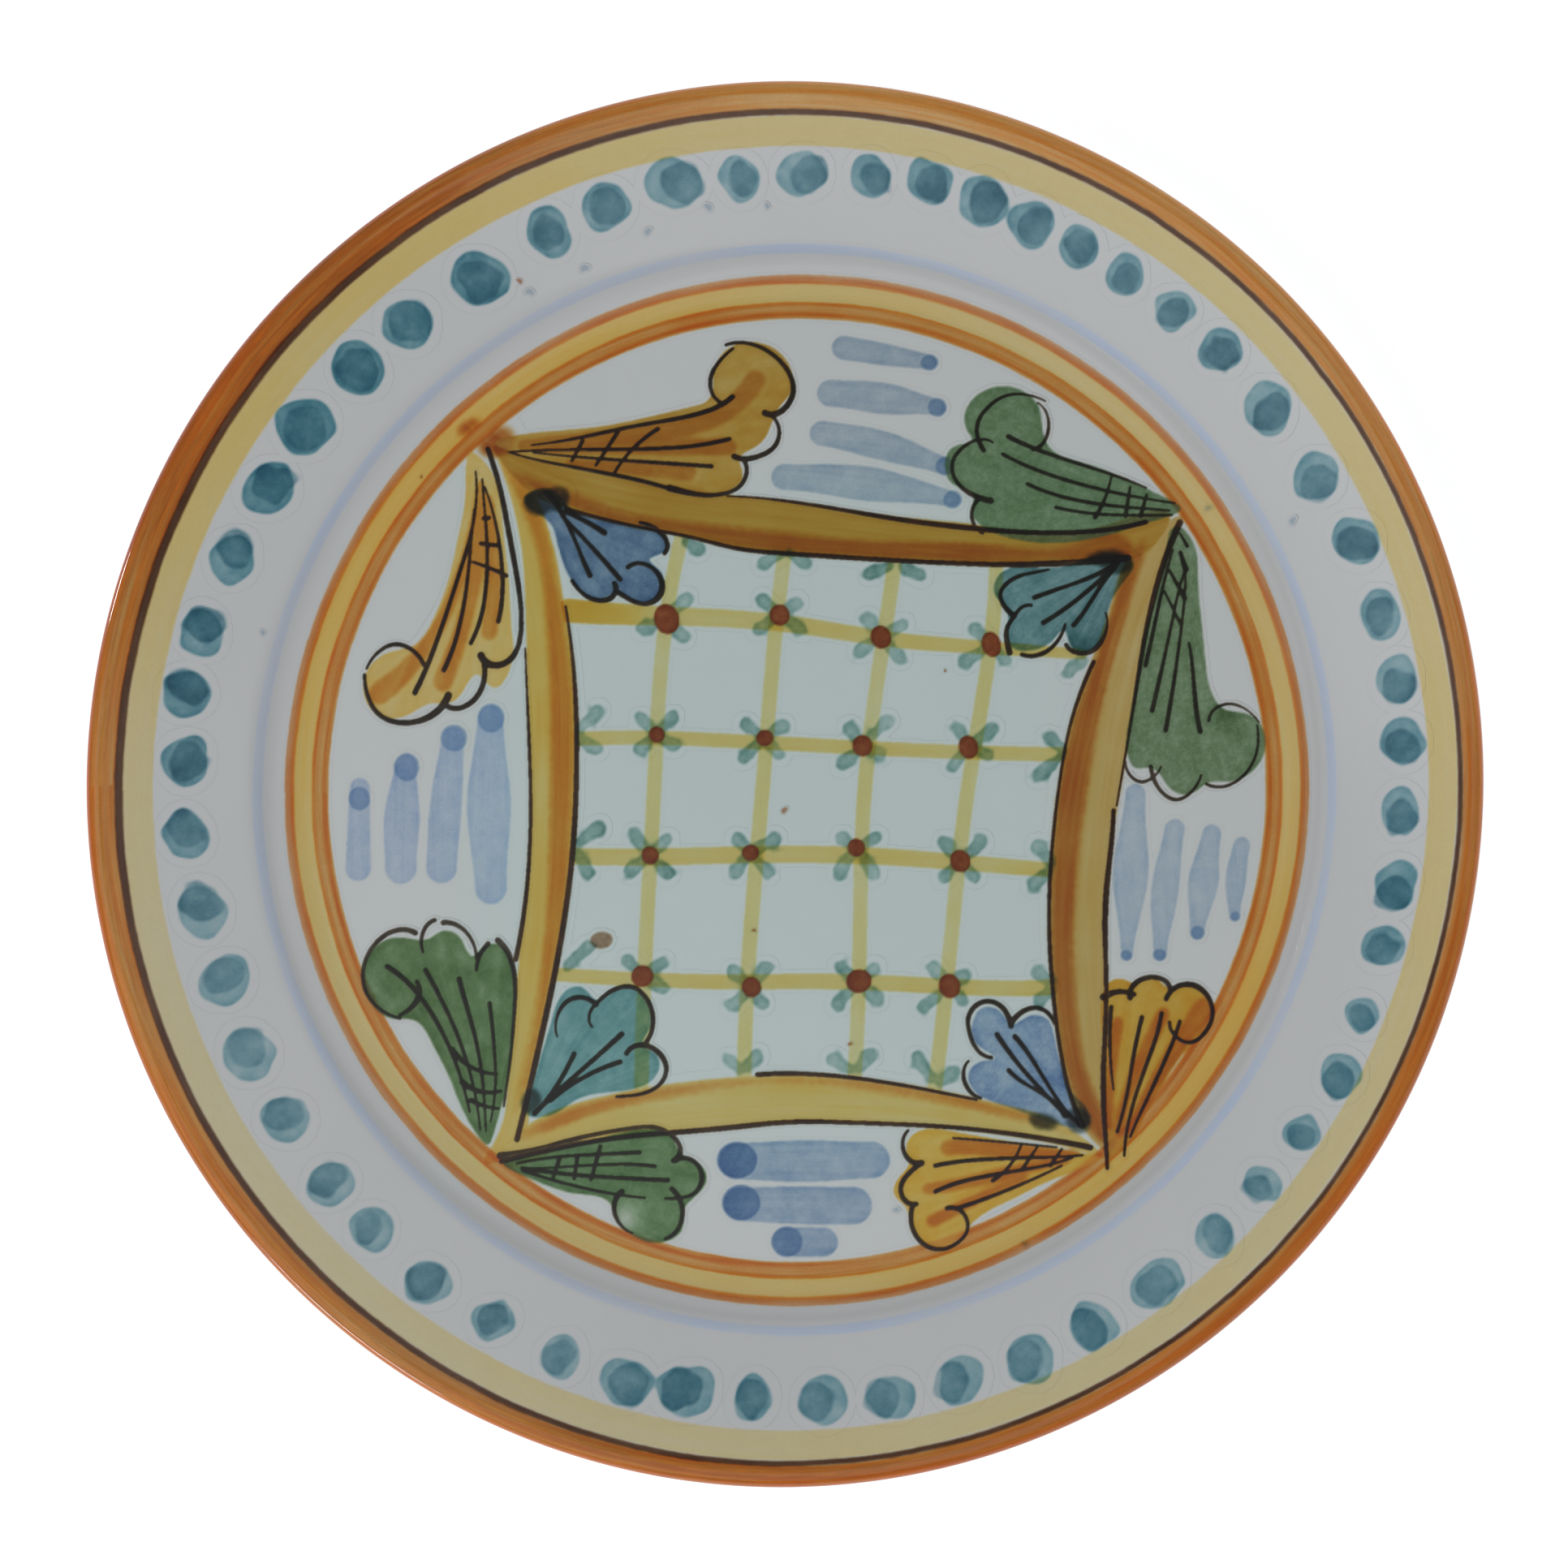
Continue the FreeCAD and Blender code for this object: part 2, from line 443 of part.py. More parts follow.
paint("lattice_verticals", 1, [stroke(pts, LINE_W) for pts in VERTICALS])
paint("lattice_horizontals", 2, [stroke(pts, *w) for pts, w in HORIZONTALS])
petals = []
for i, (centre, a, b, tips) in enumerate(FLORETS):
    petals += [petal(centre, tip, 2.3 + 0.25 * math.sin(3.0 * i + k)) for k, tip in enumerate(tips)]
for i, (root, tips) in enumerate(HALF_FLORETS):
    petals += [petal(root, tip, 2.4 + 0.2 * math.sin(2.0 * i + k)) for k, tip in enumerate(tips)]
paint("floret_petals", 3, petals)
paint("floret_centres", 4, [oval(c[0], c[1], a, b, 15) for c, a, b, tips in FLORETS])
paint("stray_dab", 4, [oval(-36.5, -29.8, 2.2, 1.6, 5)])
print("frame and lattice done")

# ---- blue filling strokes between the plumes ----------------------------------------------
DASHES = {
    "west": ([([(-84, 0), (-84.2, -9), (-84.3, -15.6)], (3.8, 4.6, 5.0)),
              ([(-74.9, 4.4), (-75.7, -6), (-75.9, -15.6)], (4.2, 6.9, 6.2)),
              ([(-65.6, 9.6), (-67.2, -5), (-67.9, -15.6)], (4.4, 6.2, 6.0)),
              ([(-58.3, 13.4), (-58.6, -5), (-58.2, -19.6)], (5.0, 8.6, 6.2))],
             [(-84.1, -2.1, 2.1, 2.3), (-74.8, 4, 2.5, 2.7), (-65.5, 9.6, 2.6, 2.6),
              (-58.2, 13.4, 2.6, 2.8)]),
    "north": ([([(10.8, 84.8), (17, 83.7), (27.6, 81.8)], (4.6, 4.2, 2.8)),
               ([(8.2, 76), (16, 75.2), (29.2, 73)], (5.2, 6.0, 3.0)),
               ([(6.6, 68.2), (16, 66.3), (30.6, 61.5)], (4.8, 5.6, 3.2)),
               ([(-0.8, 59.8), (12, 58.8), (32, 55.2)], (5.0, 6.6, 3.0))],
              [(27.5, 81.7, 1.7, 1.5), (29, 73, 1.8, 1.8), (30.5, 61.6, 1.8, 1.8),
               (32, 55.1, 1.8, 1.7)]),
    "east": ([([(67.3, -2), (66.4, -17), (65.6, -33)], (3.8, 6.8, 2.2)),
              ([(74.9, -8.8), (73.2, -19), (72, -33)], (3.8, 5.2, 2.4)),
              ([(82, -9.8), (80.7, -17), (79.1, -28.8)], (3.6, 5.8, 2.6)),
              ([(87.8, -12), (86.7, -18), (86.4, -25.6)], (3.2, 3.9, 2.0))],
             [(65.5, -33.1, 1.1, 1.0), (71.9, -33, 1.3, 1.1), (79.3, -28.8, 1.3, 1.3),
              (86.5, -25.7, 1.0, 0.9)]),
    "south": ([([(-10, -72.6), (4, -72.6), (16.2, -72.4)], (7.0, 8.0, 7.0)),
               ([(-9.4, -80.9), (2, -81.1), (12.6, -81.2)], (6.4, 7.2, 7.2)),
               ([(-0.4, -88.2), (3, -88.2), (6.8, -88.2)], (5.6, 5.8, 5.6))],
              [(-10, -72.4, 3.9, 3.5), (-9.2, -80.6, 3.7, 3.4), (-0.3, -88.1, 3.0, 2.95)]),
}
for side, (pulls, ends) in DASHES.items():
    paint("dashes_" + side, 1, [stroke(pts, *w) for pts, w in pulls])
paint("dash_end_dots", 2, [oval(*e) for pulls, ends in DASHES.values() for e in ends])

# ---- palmettes in the corners of the frame ------------------------------------------------
PALMETTES = {
    "blue_nw": ([(-51, 57), (-46, 57.6), (-42.5, 54), (-36, 51.6), (-28.5, 50.4), (-24.4, 48.6),
                 (-23.8, 46), (-27.2, 44), (-25, 41.6), (-24.8, 38), (-27.6, 35.9), (-31, 36.4),
                 (-33.8, 37.6), (-37, 36.3), (-40.6, 37.9), (-43.4, 42), (-45.2, 47.5),
                 (-47.4, 52)],
                [([(-29, 51.2), (-25, 49.2), (-23.6, 46.8), (-24.2, 45.2)], (.7, 1.1, .9)),
                 ([(-31.4, 42.5), (-28.9, 43.3), (-26.3, 42.1), (-24.7, 39.4), (-25.3, 36.8),
                   (-28, 35.4), (-31, 36.3), (-33.6, 37.8)], (.9, .9, 1.3, .9, 1.1)),
                 ([(-42.3, 40), (-40, 37.4), (-36.8, 36.1), (-34.4, 36.8), (-34, 39.4)], (.8, 1.1)),
                 ([(-47.5, 57), (-44.3, 53), (-41, 46), (-38.8, 41)], (1.3, .8, 1.1)),
                 ([(-44.2, 52.5), (-38, 46), (-32.9, 40.2)], (.8, .9, 1.1)),
                 ([(-44, 53.5), (-40, 51.7), (-36, 49.3)], (.8, 1.2))]),
    "blue_se": ([(57.6, -66), (52, -65.6), (46.5, -63.6), (40.5, -61.4), (36.2, -59.2),
                 (35, -56.2), (36.9, -53.7), (40.2, -52.8), (36.8, -50.2), (35.7, -46.6),
                 (37.6, -43.2), (41, -43.8), (43.4, -46.4), (46.6, -44.8), (50.4, -45.6),
                 (51.6, -49.5), (53, -54.6), (55.4, -60), (58.2, -63.4)],
                [([(39.4, -52.7), (36.7, -51.3), (35.2, -48), (35, -44.8), (37.2, -42.2),
                   (39.8, -42), (42.2, -44), (43.2, -46.6)], (.8, .9, 1.0, 1.0, 1.2)),
                 ([(43.2, -46.4), (45.4, -43.9), (48.5, -43.2), (51, -45), (52, -47)], (1.1, .8)),
                 ([(35, -53.3), (34, -55.6), (34.8, -58.6), (37.3, -60.5)], (.5, .9, .7)),
                 ([(40.5, -48.3), (45, -54.4), (50, -60), (54, -64)], (1.1, .8, .9)),
                 ([(44, -48.7), (48, -54.2), (51.6, -60), (56.4, -65.8)], (1.1, .8, .9)),
                 ([(42.8, -55.2), (47, -58.4), (51, -61), (53.5, -64)], (1.0, .7, .9))]),
    "teal_ne": ([(66.6, 43), (61, 44.4), (55, 42.3), (47, 41.8), (41.4, 40.8), (40, 37.4),
                 (42.6, 33.2), (42.6, 29.8), (43.6, 26.4), (47.6, 25.9), (51.2, 27.6),
                 (53.6, 29.8), (54.8, 26.8), (57.6, 25.5), (60.4, 27.4), (62, 33), (65.6, 39.6)],
                [([(50.6, 41.4), (46.4, 40.6), (43, 39.2), (41.2, 36.7), (41.9, 34.6),
                   (43.9, 32.5)], (.5, .9, .8, 1.2)),
                 ([(47.2, 34.5), (45.2, 34), (43.6, 32), (42.4, 29.8), (42.5, 27.4), (43, 25.4)],
                  (.7, .8, 1.0, 1.3)),
                 ([(45.4, 25), (48, 24.8), (50.8, 26), (52.8, 28.3), (53.8, 30.8)], (.9, .9, .6)),
                 ([(54, 26.8), (56.3, 25.2), (59, 25.6), (61, 27.8), (61.9, 30.5), (61.6, 33)],
                  (.9, 1.0, .4)),
                 ([(47.8, 36), (53, 37.8), (58, 39.6), (64, 42.6)], (1.0, .8, 1.0)),
                 ([(49.5, 31.1), (54, 34), (58.5, 37.5), (63.6, 42)], (1.0, .8, 1.0)),
                 ([(55.4, 30.6), (58, 34), (60.6, 38), (63.2, 41.4)], (1.0, .8, .9))]),
    "teal_sw": ([(-51, -63), (-49.6, -57), (-47.6, -50), (-45.8, -44), (-43.4, -39.6),
                 (-40.2, -39), (-37.6, -41.4), (-34, -39.8), (-30, -39.4), (-27.4, -42.6),
                 (-27.2, -47), (-28.4, -50.2), (-25.8, -52), (-25.4, -55.2), (-28.4, -58),
                 (-35, -59.2), (-42, -61), (-48, -64)],
                [([(-45.1, -48.5), (-45, -44.2), (-42.6, -41.3), (-39.6, -41.1), (-37.5, -42.3)],
                  (.4, .9, 1.0)),
                 ([(-38.3, -46.6), (-38.9, -44.2), (-37.4, -42), (-34.2, -39.5), (-30.5, -38.9),
                   (-27.5, -41.4), (-26.4, -45.5), (-27.9, -49.8)], (.5, .9, 1.0, .9)),
                 ([(-31.6, -51.8), (-28.5, -50.1), (-25.8, -51.2), (-23.8, -54.4), (-25, -57.7),
                   (-28.8, -59.6), (-33.5, -60.1)], (1.0, 1.1, .8, .6)),
                 ([(-41.8, -51.8), (-44.6, -57), (-49, -63)], (1.0, .7, .9)),
                 ([(-32.5, -48), (-38, -52.9), (-44, -58.2), (-49.6, -63.4)], (1.1, .8, 1.0)),
                 ([(-32.8, -53.4), (-40, -56.4), (-46.4, -60.9)], (1.0, .7, .8))]),
}

# ---- plumes at the corners: wash, orange shading, ink -------------------------------------
PLUMES = {
    "yellow_nw_top": (
        [(-57, 67.6), (-48, 69), (-38, 69.8), (-28, 71.6), (-19, 73.6), (-15, 75.6), (-14.6, 80),
         (-12, 84.6), (-8, 86), (-3, 84.8), (0.3, 81), (0.4, 76.4), (-2.4, 72.6), (-3.8, 69),
         (-6.4, 65.8), (-9.6, 63.6), (-9, 60), (-12, 57.2), (-18, 56.8), (-24, 58),
         (-33, 60), (-44, 62.4), (-53, 64.6)],
        [([(-52, 66.4), (-40, 67.4), (-26, 68.8), (-14.5, 71.4), (-9, 75.4), (-6.6, 78.6)],
          (2.2, 2.6, 2.8, 3.4, 4.0)),
         ([(-48, 65.6), (-35, 65.8), (-21, 65.8), (-11.8, 65.8)], (1.4, 3.0, 3.4)),
         ([(-43, 63), (-31, 61.9), (-19.6, 60.8)], (1.2, 2.8, 3.2))],
        [([(-50.3, 66.5), (-40, 68), (-30, 70), (-20, 71.7), (-14, 73.5), (-10.9, 75.5)],
          (.4, .8, .9, 1.1)),
         ([(-10.8, 84.9), (-13.8, 82), (-15.3, 78.4), (-14.7, 75.9), (-13, 74.3)], (.6, .9, .7)),
         ([(-12.2, 85.6), (-8.8, 86), (-4.2, 84.4), (-0.5, 81), (1, 77.5), (0, 74),
           (-2.4, 72.1), (-4.6, 72.3)], (.7, .9, 1.1, 1.3)),
         ([(-3.1, 71.5), (-1.8, 69), (-2.5, 66), (-5.5, 64), (-8.6, 63.4), (-10.6, 63.9)],
          (.7, 1.0, 1.2)),
         ([(-8.8, 63.2), (-8.2, 60.5), (-9.6, 58), (-13, 56.6), (-18, 56.6), (-23.3, 57.9)],
          (.9, .9, 1.4)),
         ([(-54.5, 65), (-44, 62.5), (-33, 60.3), (-24, 58)], (.4, .8, .9)),
         ([(-55, 65.2), (-45, 65.5), (-35, 65.5), (-22, 65.7), (-11.5, 67.3)], (.4, .8, .9)),
         ([(-50, 65), (-40, 64), (-28, 63), (-15, 62)], (.4, .8, .9)),
         ([(-40.3, 67.2), (-42.4, 63.3)], (.9, .6)), ([(-33.4, 68.8), (-37.7, 62.4)], (.9, .6)),
         ([(-25.5, 69.4), (-30, 66), (-34, 61)], (.9, .8, .6))]),
    "yellow_nw_left": (
        [(-61.5, 65), (-58, 61), (-56, 51), (-54.8, 40), (-54.2, 30), (-54.8, 22.4), (-57.6, 19.4),
         (-61, 22), (-63.6, 19), (-66.6, 16.4), (-70, 16.4), (-75, 14), (-80.6, 14.4),
         (-83.2, 18.4), (-82, 23.6), (-78, 26.4), (-73.4, 27.6), (-69.4, 33), (-66.4, 41),
         (-64.4, 50), (-63.2, 59)],
        [([(-60.4, 59), (-62, 49), (-65, 39), (-70, 29), (-75.4, 22.4), (-80.2, 18.4)],
          (1.4, 2.0, 2.6, 4.4)),
         ([(-59.6, 57), (-60.6, 45), (-63.6, 32), (-67.6, 20.6)], (1.2, 2.4, 2.8, 3.8)),
         ([(-58.6, 56), (-57.8, 46), (-57.9, 36), (-58.6, 30)], (1.4, 2.8, 3.0))],
        [([(-58.9, 65.8), (-56.5, 58), (-54.5, 48), (-52.7, 38), (-52.3, 31), (-53.2, 26.6),
           (-55.6, 24), (-58.4, 23.8), (-60.2, 25.6)], (1.1, 1.2, 1.1, 1.0, 1.5)),
         ([(-59.7, 24.8), (-59.6, 21), (-61, 17.6), (-64.4, 15.4), (-67.4, 16.2)], (1.1, 1.1)),
         ([(-66.6, 17.9), (-68.2, 15.4), (-71.6, 13.2), (-75.5, 12.6), (-80, 14), (-82.5, 18),
           (-83.1, 22)], (1.5, 1.2, 1.0, .7)),
         ([(-82.7, 23.2), (-80.5, 26.3), (-77, 27.9), (-73.8, 26.8), (-71.5, 23.9)], (.5, .9, .9)),
         ([(-61.3, 61.5), (-61.5, 53), (-65, 40), (-69, 28), (-73.2, 18.4)], (.4, .8, .9, 1.1)),
         ([(-61.6, 54), (-63.2, 38), (-65.4, 28), (-67.5, 22.8)], (.5, .8, 1.0)),
         ([(-60, 60), (-59.2, 50), (-59, 43), (-60, 34), (-62.2, 28)], (.4, .8, .9)),
         ([(-59.5, 58.5), (-57.5, 52), (-56.2, 44), (-56, 38), (-56.8, 32.2)], (.4, .8, 1.0)),
         ([(-59.7, 52.3), (-58.7, 52.4)], (.9, .9)), ([(-60.2, 47.4), (-57, 47)], (.9, .9)),
         ([(-61.8, 43.8), (-58.5, 42.6), (-55.2, 41.1)], (.6, .8, .9))]),
    "yellow_se_right": (
        [(61.6, -71.5), (60.9, -60), (61, -50), (60.8, -42), (62.4, -38.2), (65.2, -37.8),
         (67.2, -38.6), (70.4, -37.4), (73.6, -39.4), (77.4, -38.8), (81.2, -40.8), (82.4, -44.4),
         (81, -48), (77.4, -51), (73.4, -56.4), (69.4, -63), (65.6, -69.4)],
        [([(61.9, -66), (62.6, -56), (63.8, -46)], (1.4, 2.0, 2.2)),
         ([(63.9, -67), (66.4, -58), (69.8, -50), (72.6, -44.4)], (1.8, 2.2, 2.6)),
         ([(66, -67), (71, -57.4), (76.6, -48.6), (80.4, -43.4)], (1.6, 2.2, 4.2))],
        [([(68.5, -45), (67, -52), (65.5, -60), (63.7, -67)], (.9, .8, .7)),
         ([(72.3, -44.3), (70.5, -51), (67.6, -59), (65.6, -66.6), (65.1, -71.6)], (.9, .8, .6)),
         ([(75.8, -45.8), (73.5, -52), (69.5, -60.6), (66.2, -68)], (.8, .8, .5)),
         ([(62.6, -43), (62.3, -50), (62.6, -55.6), (63, -59)], (.9, .8, .4)),
         ([(61.1, -41.1), (63.4, -40.2), (67, -40.6)], (1.5, 1.0, 1.0)),
         ([(66.2, -41.3), (66.9, -38.8), (69.5, -37.4), (72.5, -37.7), (74, -39.8)], (1.1, 1.0)),
         ([(73.2, -41.5), (75, -39.4), (78.5, -38.8), (81.2, -41), (82.1, -44.5), (80.6, -48),
           (77.5, -49.9), (75, -48.7), (73.8, -46)], (1.0, 1.0, .8, .7))]),
    "yellow_se_bottom": (
        [(59.6, -71.6), (50, -70), (40, -68.4), (31, -66.8), (25.4, -66.9), (23, -69.6),
         (23.6, -72.8), (21.4, -76), (20.6, -79), (23, -81.6), (23.6, -85), (25.6, -88.2),
         (29.4, -89.2), (33, -87.2), (36.4, -83.8), (44, -79.6), (52, -75.8)],
        [([(56, -71), (45, -70.8), (36, -70), (31, -70)], (1.2, 2.6, 3.0)),
         ([(54, -72.6), (42, -75), (34, -76.8), (27, -78)], (1.2, 2.4, 2.0)),
         ([(46, -76), (36, -80.2), (28, -84.2)], (1.2, 2.0, 2.4))],
        [([(52, -70), (42, -69), (32, -68.2)], (.5, .7, .5)),
         ([(57, -71.5), (47, -72), (38, -72.3), (28.5, -73.5)], (.5, .8, .9)),
         ([(55, -72), (45, -74.4), (36, -76), (28.5, -78.5)], (.5, .8, .9)),
         ([(53, -73.5), (43, -78), (32.5, -81.8)], (.5, .8, .9)),
         ([(23.3, -66.7), (22.2, -69.5), (23.3, -72.2), (25.8, -73)], (.6, .9, 1.3)),
         ([(26, -72.9), (23.4, -75), (21.8, -78), (22.8, -80.3), (24.8, -80.9)], (1.0, 1.0)),
         ([(24.1, -81.4), (24, -85), (26, -88.4), (29, -89.6), (32.4, -88.6), (34.8, -85.5),
           (34, -82.8), (30.8, -81.7)], (1.0, 1.0, .7, 1.0)),
         ([(53, -70.3), (50.8, -73.5)], (.5, .8)), ([(48.2, -70), (45.2, -74.4)], (.5, .8)),
         ([(45.2, -69.3), (42.5, -74), (39.6, -76.4)], (.5, .6, .8))]),
    "green_ne_top": (
        [(75.8, 53.6), (67, 58), (58, 61.8), (50.6, 65.2), (49.4, 68.6), (48.6, 73), (44, 76.6),
         (38.4, 76.2), (34.8, 72.8), (34.8, 68.6), (36, 66.4), (32.4, 65.4), (30.6, 62),
         (32, 58.2), (36, 56.2), (35.8, 52.8), (38, 49.8), (44, 47.4), (53, 46.6), (62, 48),
         (70, 50.4)], [],
        [([(50, 74), (46, 75.3), (42, 75), (38.5, 72.5), (36.8, 69.5), (37, 66.7), (38, 64.6)],
          (.4, .7, .8, 1.0)),
         ([(48.5, 73.7), (50.3, 71.5), (50.6, 68.5), (49.5, 65.8), (47.6, 64.7)], (.4, .7, .9)),
         ([(42.8, 67.2), (48, 64.8), (58, 61.3), (69.5, 57)], (1.0, .8, .5)),
         ([(39.8, 66.1), (37, 66.7), (34, 65.2), (32, 62.4), (32.4, 59.2), (35, 56.5),
           (39.4, 54.8)], (.5, .8, .8, 1.3)),
         ([(37, 55), (35.7, 52.5), (36.3, 50), (37.8, 48.6)], (.8, .8)),
         ([(41.7, 63.8), (48, 60.8), (58, 57.5), (68, 55.2), (75, 54)], (.8, .8, .5)),
         ([(46.5, 58), (55, 55), (65, 53.4), (74, 52.6)], (.8, .8, .5)),
         ([(52, 53.4), (60, 52.1), (68, 51.7), (74.5, 51.7)], (.7, .7, .5)),
         ([(62.7, 59), (61.3, 54.5), (59.6, 51.4)], (.5, .7, .9)),
         ([(66.4, 57.2), (65.5, 51.6)], (.6, .9)), ([(69.6, 55.7), (68.4, 51.6)], (.6, .9))]),
    "green_ne_right": (
        [(76.6, 49), (79, 45), (79.4, 39), (80, 32), (80.8, 24), (82.2, 17), (84.4, 14.2),
         (89, 13.2), (92, 10), (92, 5.4), (89.4, 1.9), (85, 0.3), (81, 0), (78.6, -1.7),
         (75.4, -1.9), (72.8, 0.6), (70.4, 3), (67.4, 3), (65.8, 6), (66.6, 14), (68, 23),
         (70, 32), (72.6, 41)], [],
        [([(65.4, 4.3), (66.3, 1.6), (68.3, 0.3), (70.5, 1), (72.3, 3.3)], (.6, .7, .4)),
         ([(70.3, 3.2), (71, 0.5), (73, -2.2), (75.3, -3.2), (78, -1.8), (80, 1.5)], (.9, .8, .5)),
         ([(81, -0.2), (84, -0.7), (87.5, 0.8), (90, 4), (91, 8), (90.8, 11)], (.7, .6, .5)),
         ([(91.2, 11.6), (88.5, 14.2), (85.5, 15.2), (82.8, 14.3), (81.5, 12)], (.4, .6, .7)),
         ([(74.6, 45), (72.5, 37), (70.5, 28), (69.3, 22.7)], (.5, .8, .9)),
         ([(76.9, 41), (75.5, 36), (74, 29), (72.2, 21), (70.6, 14)], (.5, .7, 1.0)),
         ([(77.1, 41), (76.8, 35), (76, 28), (74.7, 19), (73.2, 10.2)], (.5, .7, 1.0)),
         ([(77.7, 27), (78.5, 21), (79, 15), (79.8, 10)], (.6, .9, 1.1)),
         ([(76, 48.2), (77.4, 45.7)], (.5, .8)), ([(76.1, 44.5), (77.1, 41.2)], (.8, 1.2)),
         ([(74, 41), (76.9, 35.7)], (.6, 1.1)), ([(73, 37), (76.2, 30.4)], (.5, .7))]),
    "green_sw_left": (
        [(-59.4, -69), (-63.4, -63), (-66.4, -56), (-70, -49), (-73, -45.2), (-77.6, -44.8),
         (-81.6, -42), (-83.2, -37.6), (-82.2, -32.8), (-78.6, -29.6), (-74, -29.4), (-70.8, -29.6),
         (-67.4, -27.9), (-64, -29.6), (-61.8, -33), (-59.6, -31), (-56.4, -30.8), (-54, -34),
         (-53.4, -40), (-53.8, -48), (-54.8, -57), (-57, -65)], [],
        [([(-73, -28.3), (-77, -27.8), (-81, -30.5), (-83.2, -35), (-82.6, -40), (-80, -43),
           (-76, -44.9)], (1.1, .9, .8, .6)),
         ([(-72.7, -37.8), (-72.3, -40.5), (-74, -43), (-76, -44.2)], (.9, 1.3, .7)),
         ([(-71.5, -32), (-71.8, -29.5), (-70.8, -26.9), (-69.2, -25.8)], (.6, .8, .9)),
         ([(-67.5, -26.3), (-64, -27.3), (-61.8, -30), (-61, -33.4)], (1.1, .8, .6)),
         ([(-61, -35.5), (-60.4, -32.8), (-58.7, -30.4)], (.7, 1.0)),
         ([(-56.8, -29.8), (-54.8, -32.2), (-53.6, -36), (-53.5, -43), (-54.2, -52),
           (-55.6, -62)], (1.3, .9, .7, .5)),
         ([(-78.5, -34.8), (-73, -39.5), (-68, -47), (-64.5, -55), (-62.3, -63)], (1.1, .9, .5)),
         ([(-71, -35.5), (-67.5, -42), (-64, -50), (-61.6, -58), (-60.2, -66.6)], (1.0, .8, .4)),
         ([(-64.4, -37.3), (-62.5, -44), (-60.5, -52), (-59.5, -60), (-59.1, -66.8)], (1.1, .8, .4)),
         ([(-58.4, -42), (-57.5, -50), (-57.3, -58), (-58.2, -65)], (.9, .7, .4)),
         ([(-65.7, -51), (-62, -54.4), (-57, -55.7)], (1.2, .7, .6)),
         ([(-63.7, -57.3), (-61, -58.9), (-56.2, -59)], (1.2, .9, .7)),
         ([(-62, -60.8), (-59, -62), (-56.6, -62.4)], (1.0, .7, .6))]),
    "green_sw_bottom": (
        [(-55, -72.6), (-46, -70.4), (-36, -68), (-28, -66.5), (-23, -67.8), (-20.8, -71.2),
         (-17.6, -72.9), (-16, -76), (-18, -79.2), (-20.2, -81.6), (-20.6, -85.4), (-24.4, -88.2),
         (-29.4, -87.4), (-33, -84), (-35, -80.4), (-41, -78.9), (-48.6, -76.6)], [],
        [([(-56.3, -71.5), (-48, -70), (-40, -67.9), (-31, -66.3), (-25, -66.3), (-21.6, -69),
           (-21, -71.4), (-22.4, -72.5)], (1.4, 1.0, .9, .9, 1.1)),
         ([(-22, -72.6), (-19, -72.3), (-16.9, -75), (-17.8, -78.3), (-20.5, -79.6),
           (-24, -79.8)], (.9, 1.0, .6)),
         ([(-22.7, -78), (-21, -80.5), (-20.8, -84), (-22.8, -87), (-24, -87.6)], (1.1, 1.0, .7)),
         ([(-32.5, -78.5), (-34, -81.4), (-33, -84.5), (-30.4, -86.5)], (1.2, .9, .5)),
         ([(-53, -73), (-45, -71.8), (-38, -71.3), (-29, -70.9)], (.6, .7, .9)),
         ([(-50.5, -73.9), (-42, -73.6), (-34, -73.2), (-26, -73.6)], (.4, .6, .8)),
         ([(-52, -74), (-44, -75), (-34, -75.8), (-23.5, -76.3)], (.9, .7, 1.0)),
         ([(-51.8, -74.5), (-44, -76.8), (-36, -78.6), (-28, -79.7)], (.6, .8, .5)),
         ([(-44.7, -72.2), (-46, -76)], (.9, .7)), ([(-41.2, -72), (-41.8, -76)], (.9, .7)),
         ([(-36.7, -69.8), (-38.5, -76.2)], (.9, .7))]),
}
for name, (wash, shade, ink) in PLUMES.items():
    paint("plume_" + name, 3, [blot(wash)])
for name, (wash, ink) in PALMETTES.items():
    paint("palmette_" + name, 3, [blot(wash)])
for name, (wash, shade, ink) in PLUMES.items():
    if shade:
        paint("plume_shading_" + name[7:], 4, [stroke(pts, *w) for pts, w in shade])
paint("palmette_dark_tips", 4, [
    oval(-49, 55.2, 2.7, 2.3, 0), oval(-45.2, 56, 2.3, 2.4, 0),
    blot([(66.6, 43.2), (63.8, 45), (60, 44.6), (57.6, 43.4), (60.6, 42), (65, 40.6)]),
    oval(56.2, -64.8, 2.3, 2.6, 35), oval(49.4, -65, 2.9, 1.5, -12),
    oval(-50.2, -61, 1.9, 2.4, -20)])
print("motifs done")

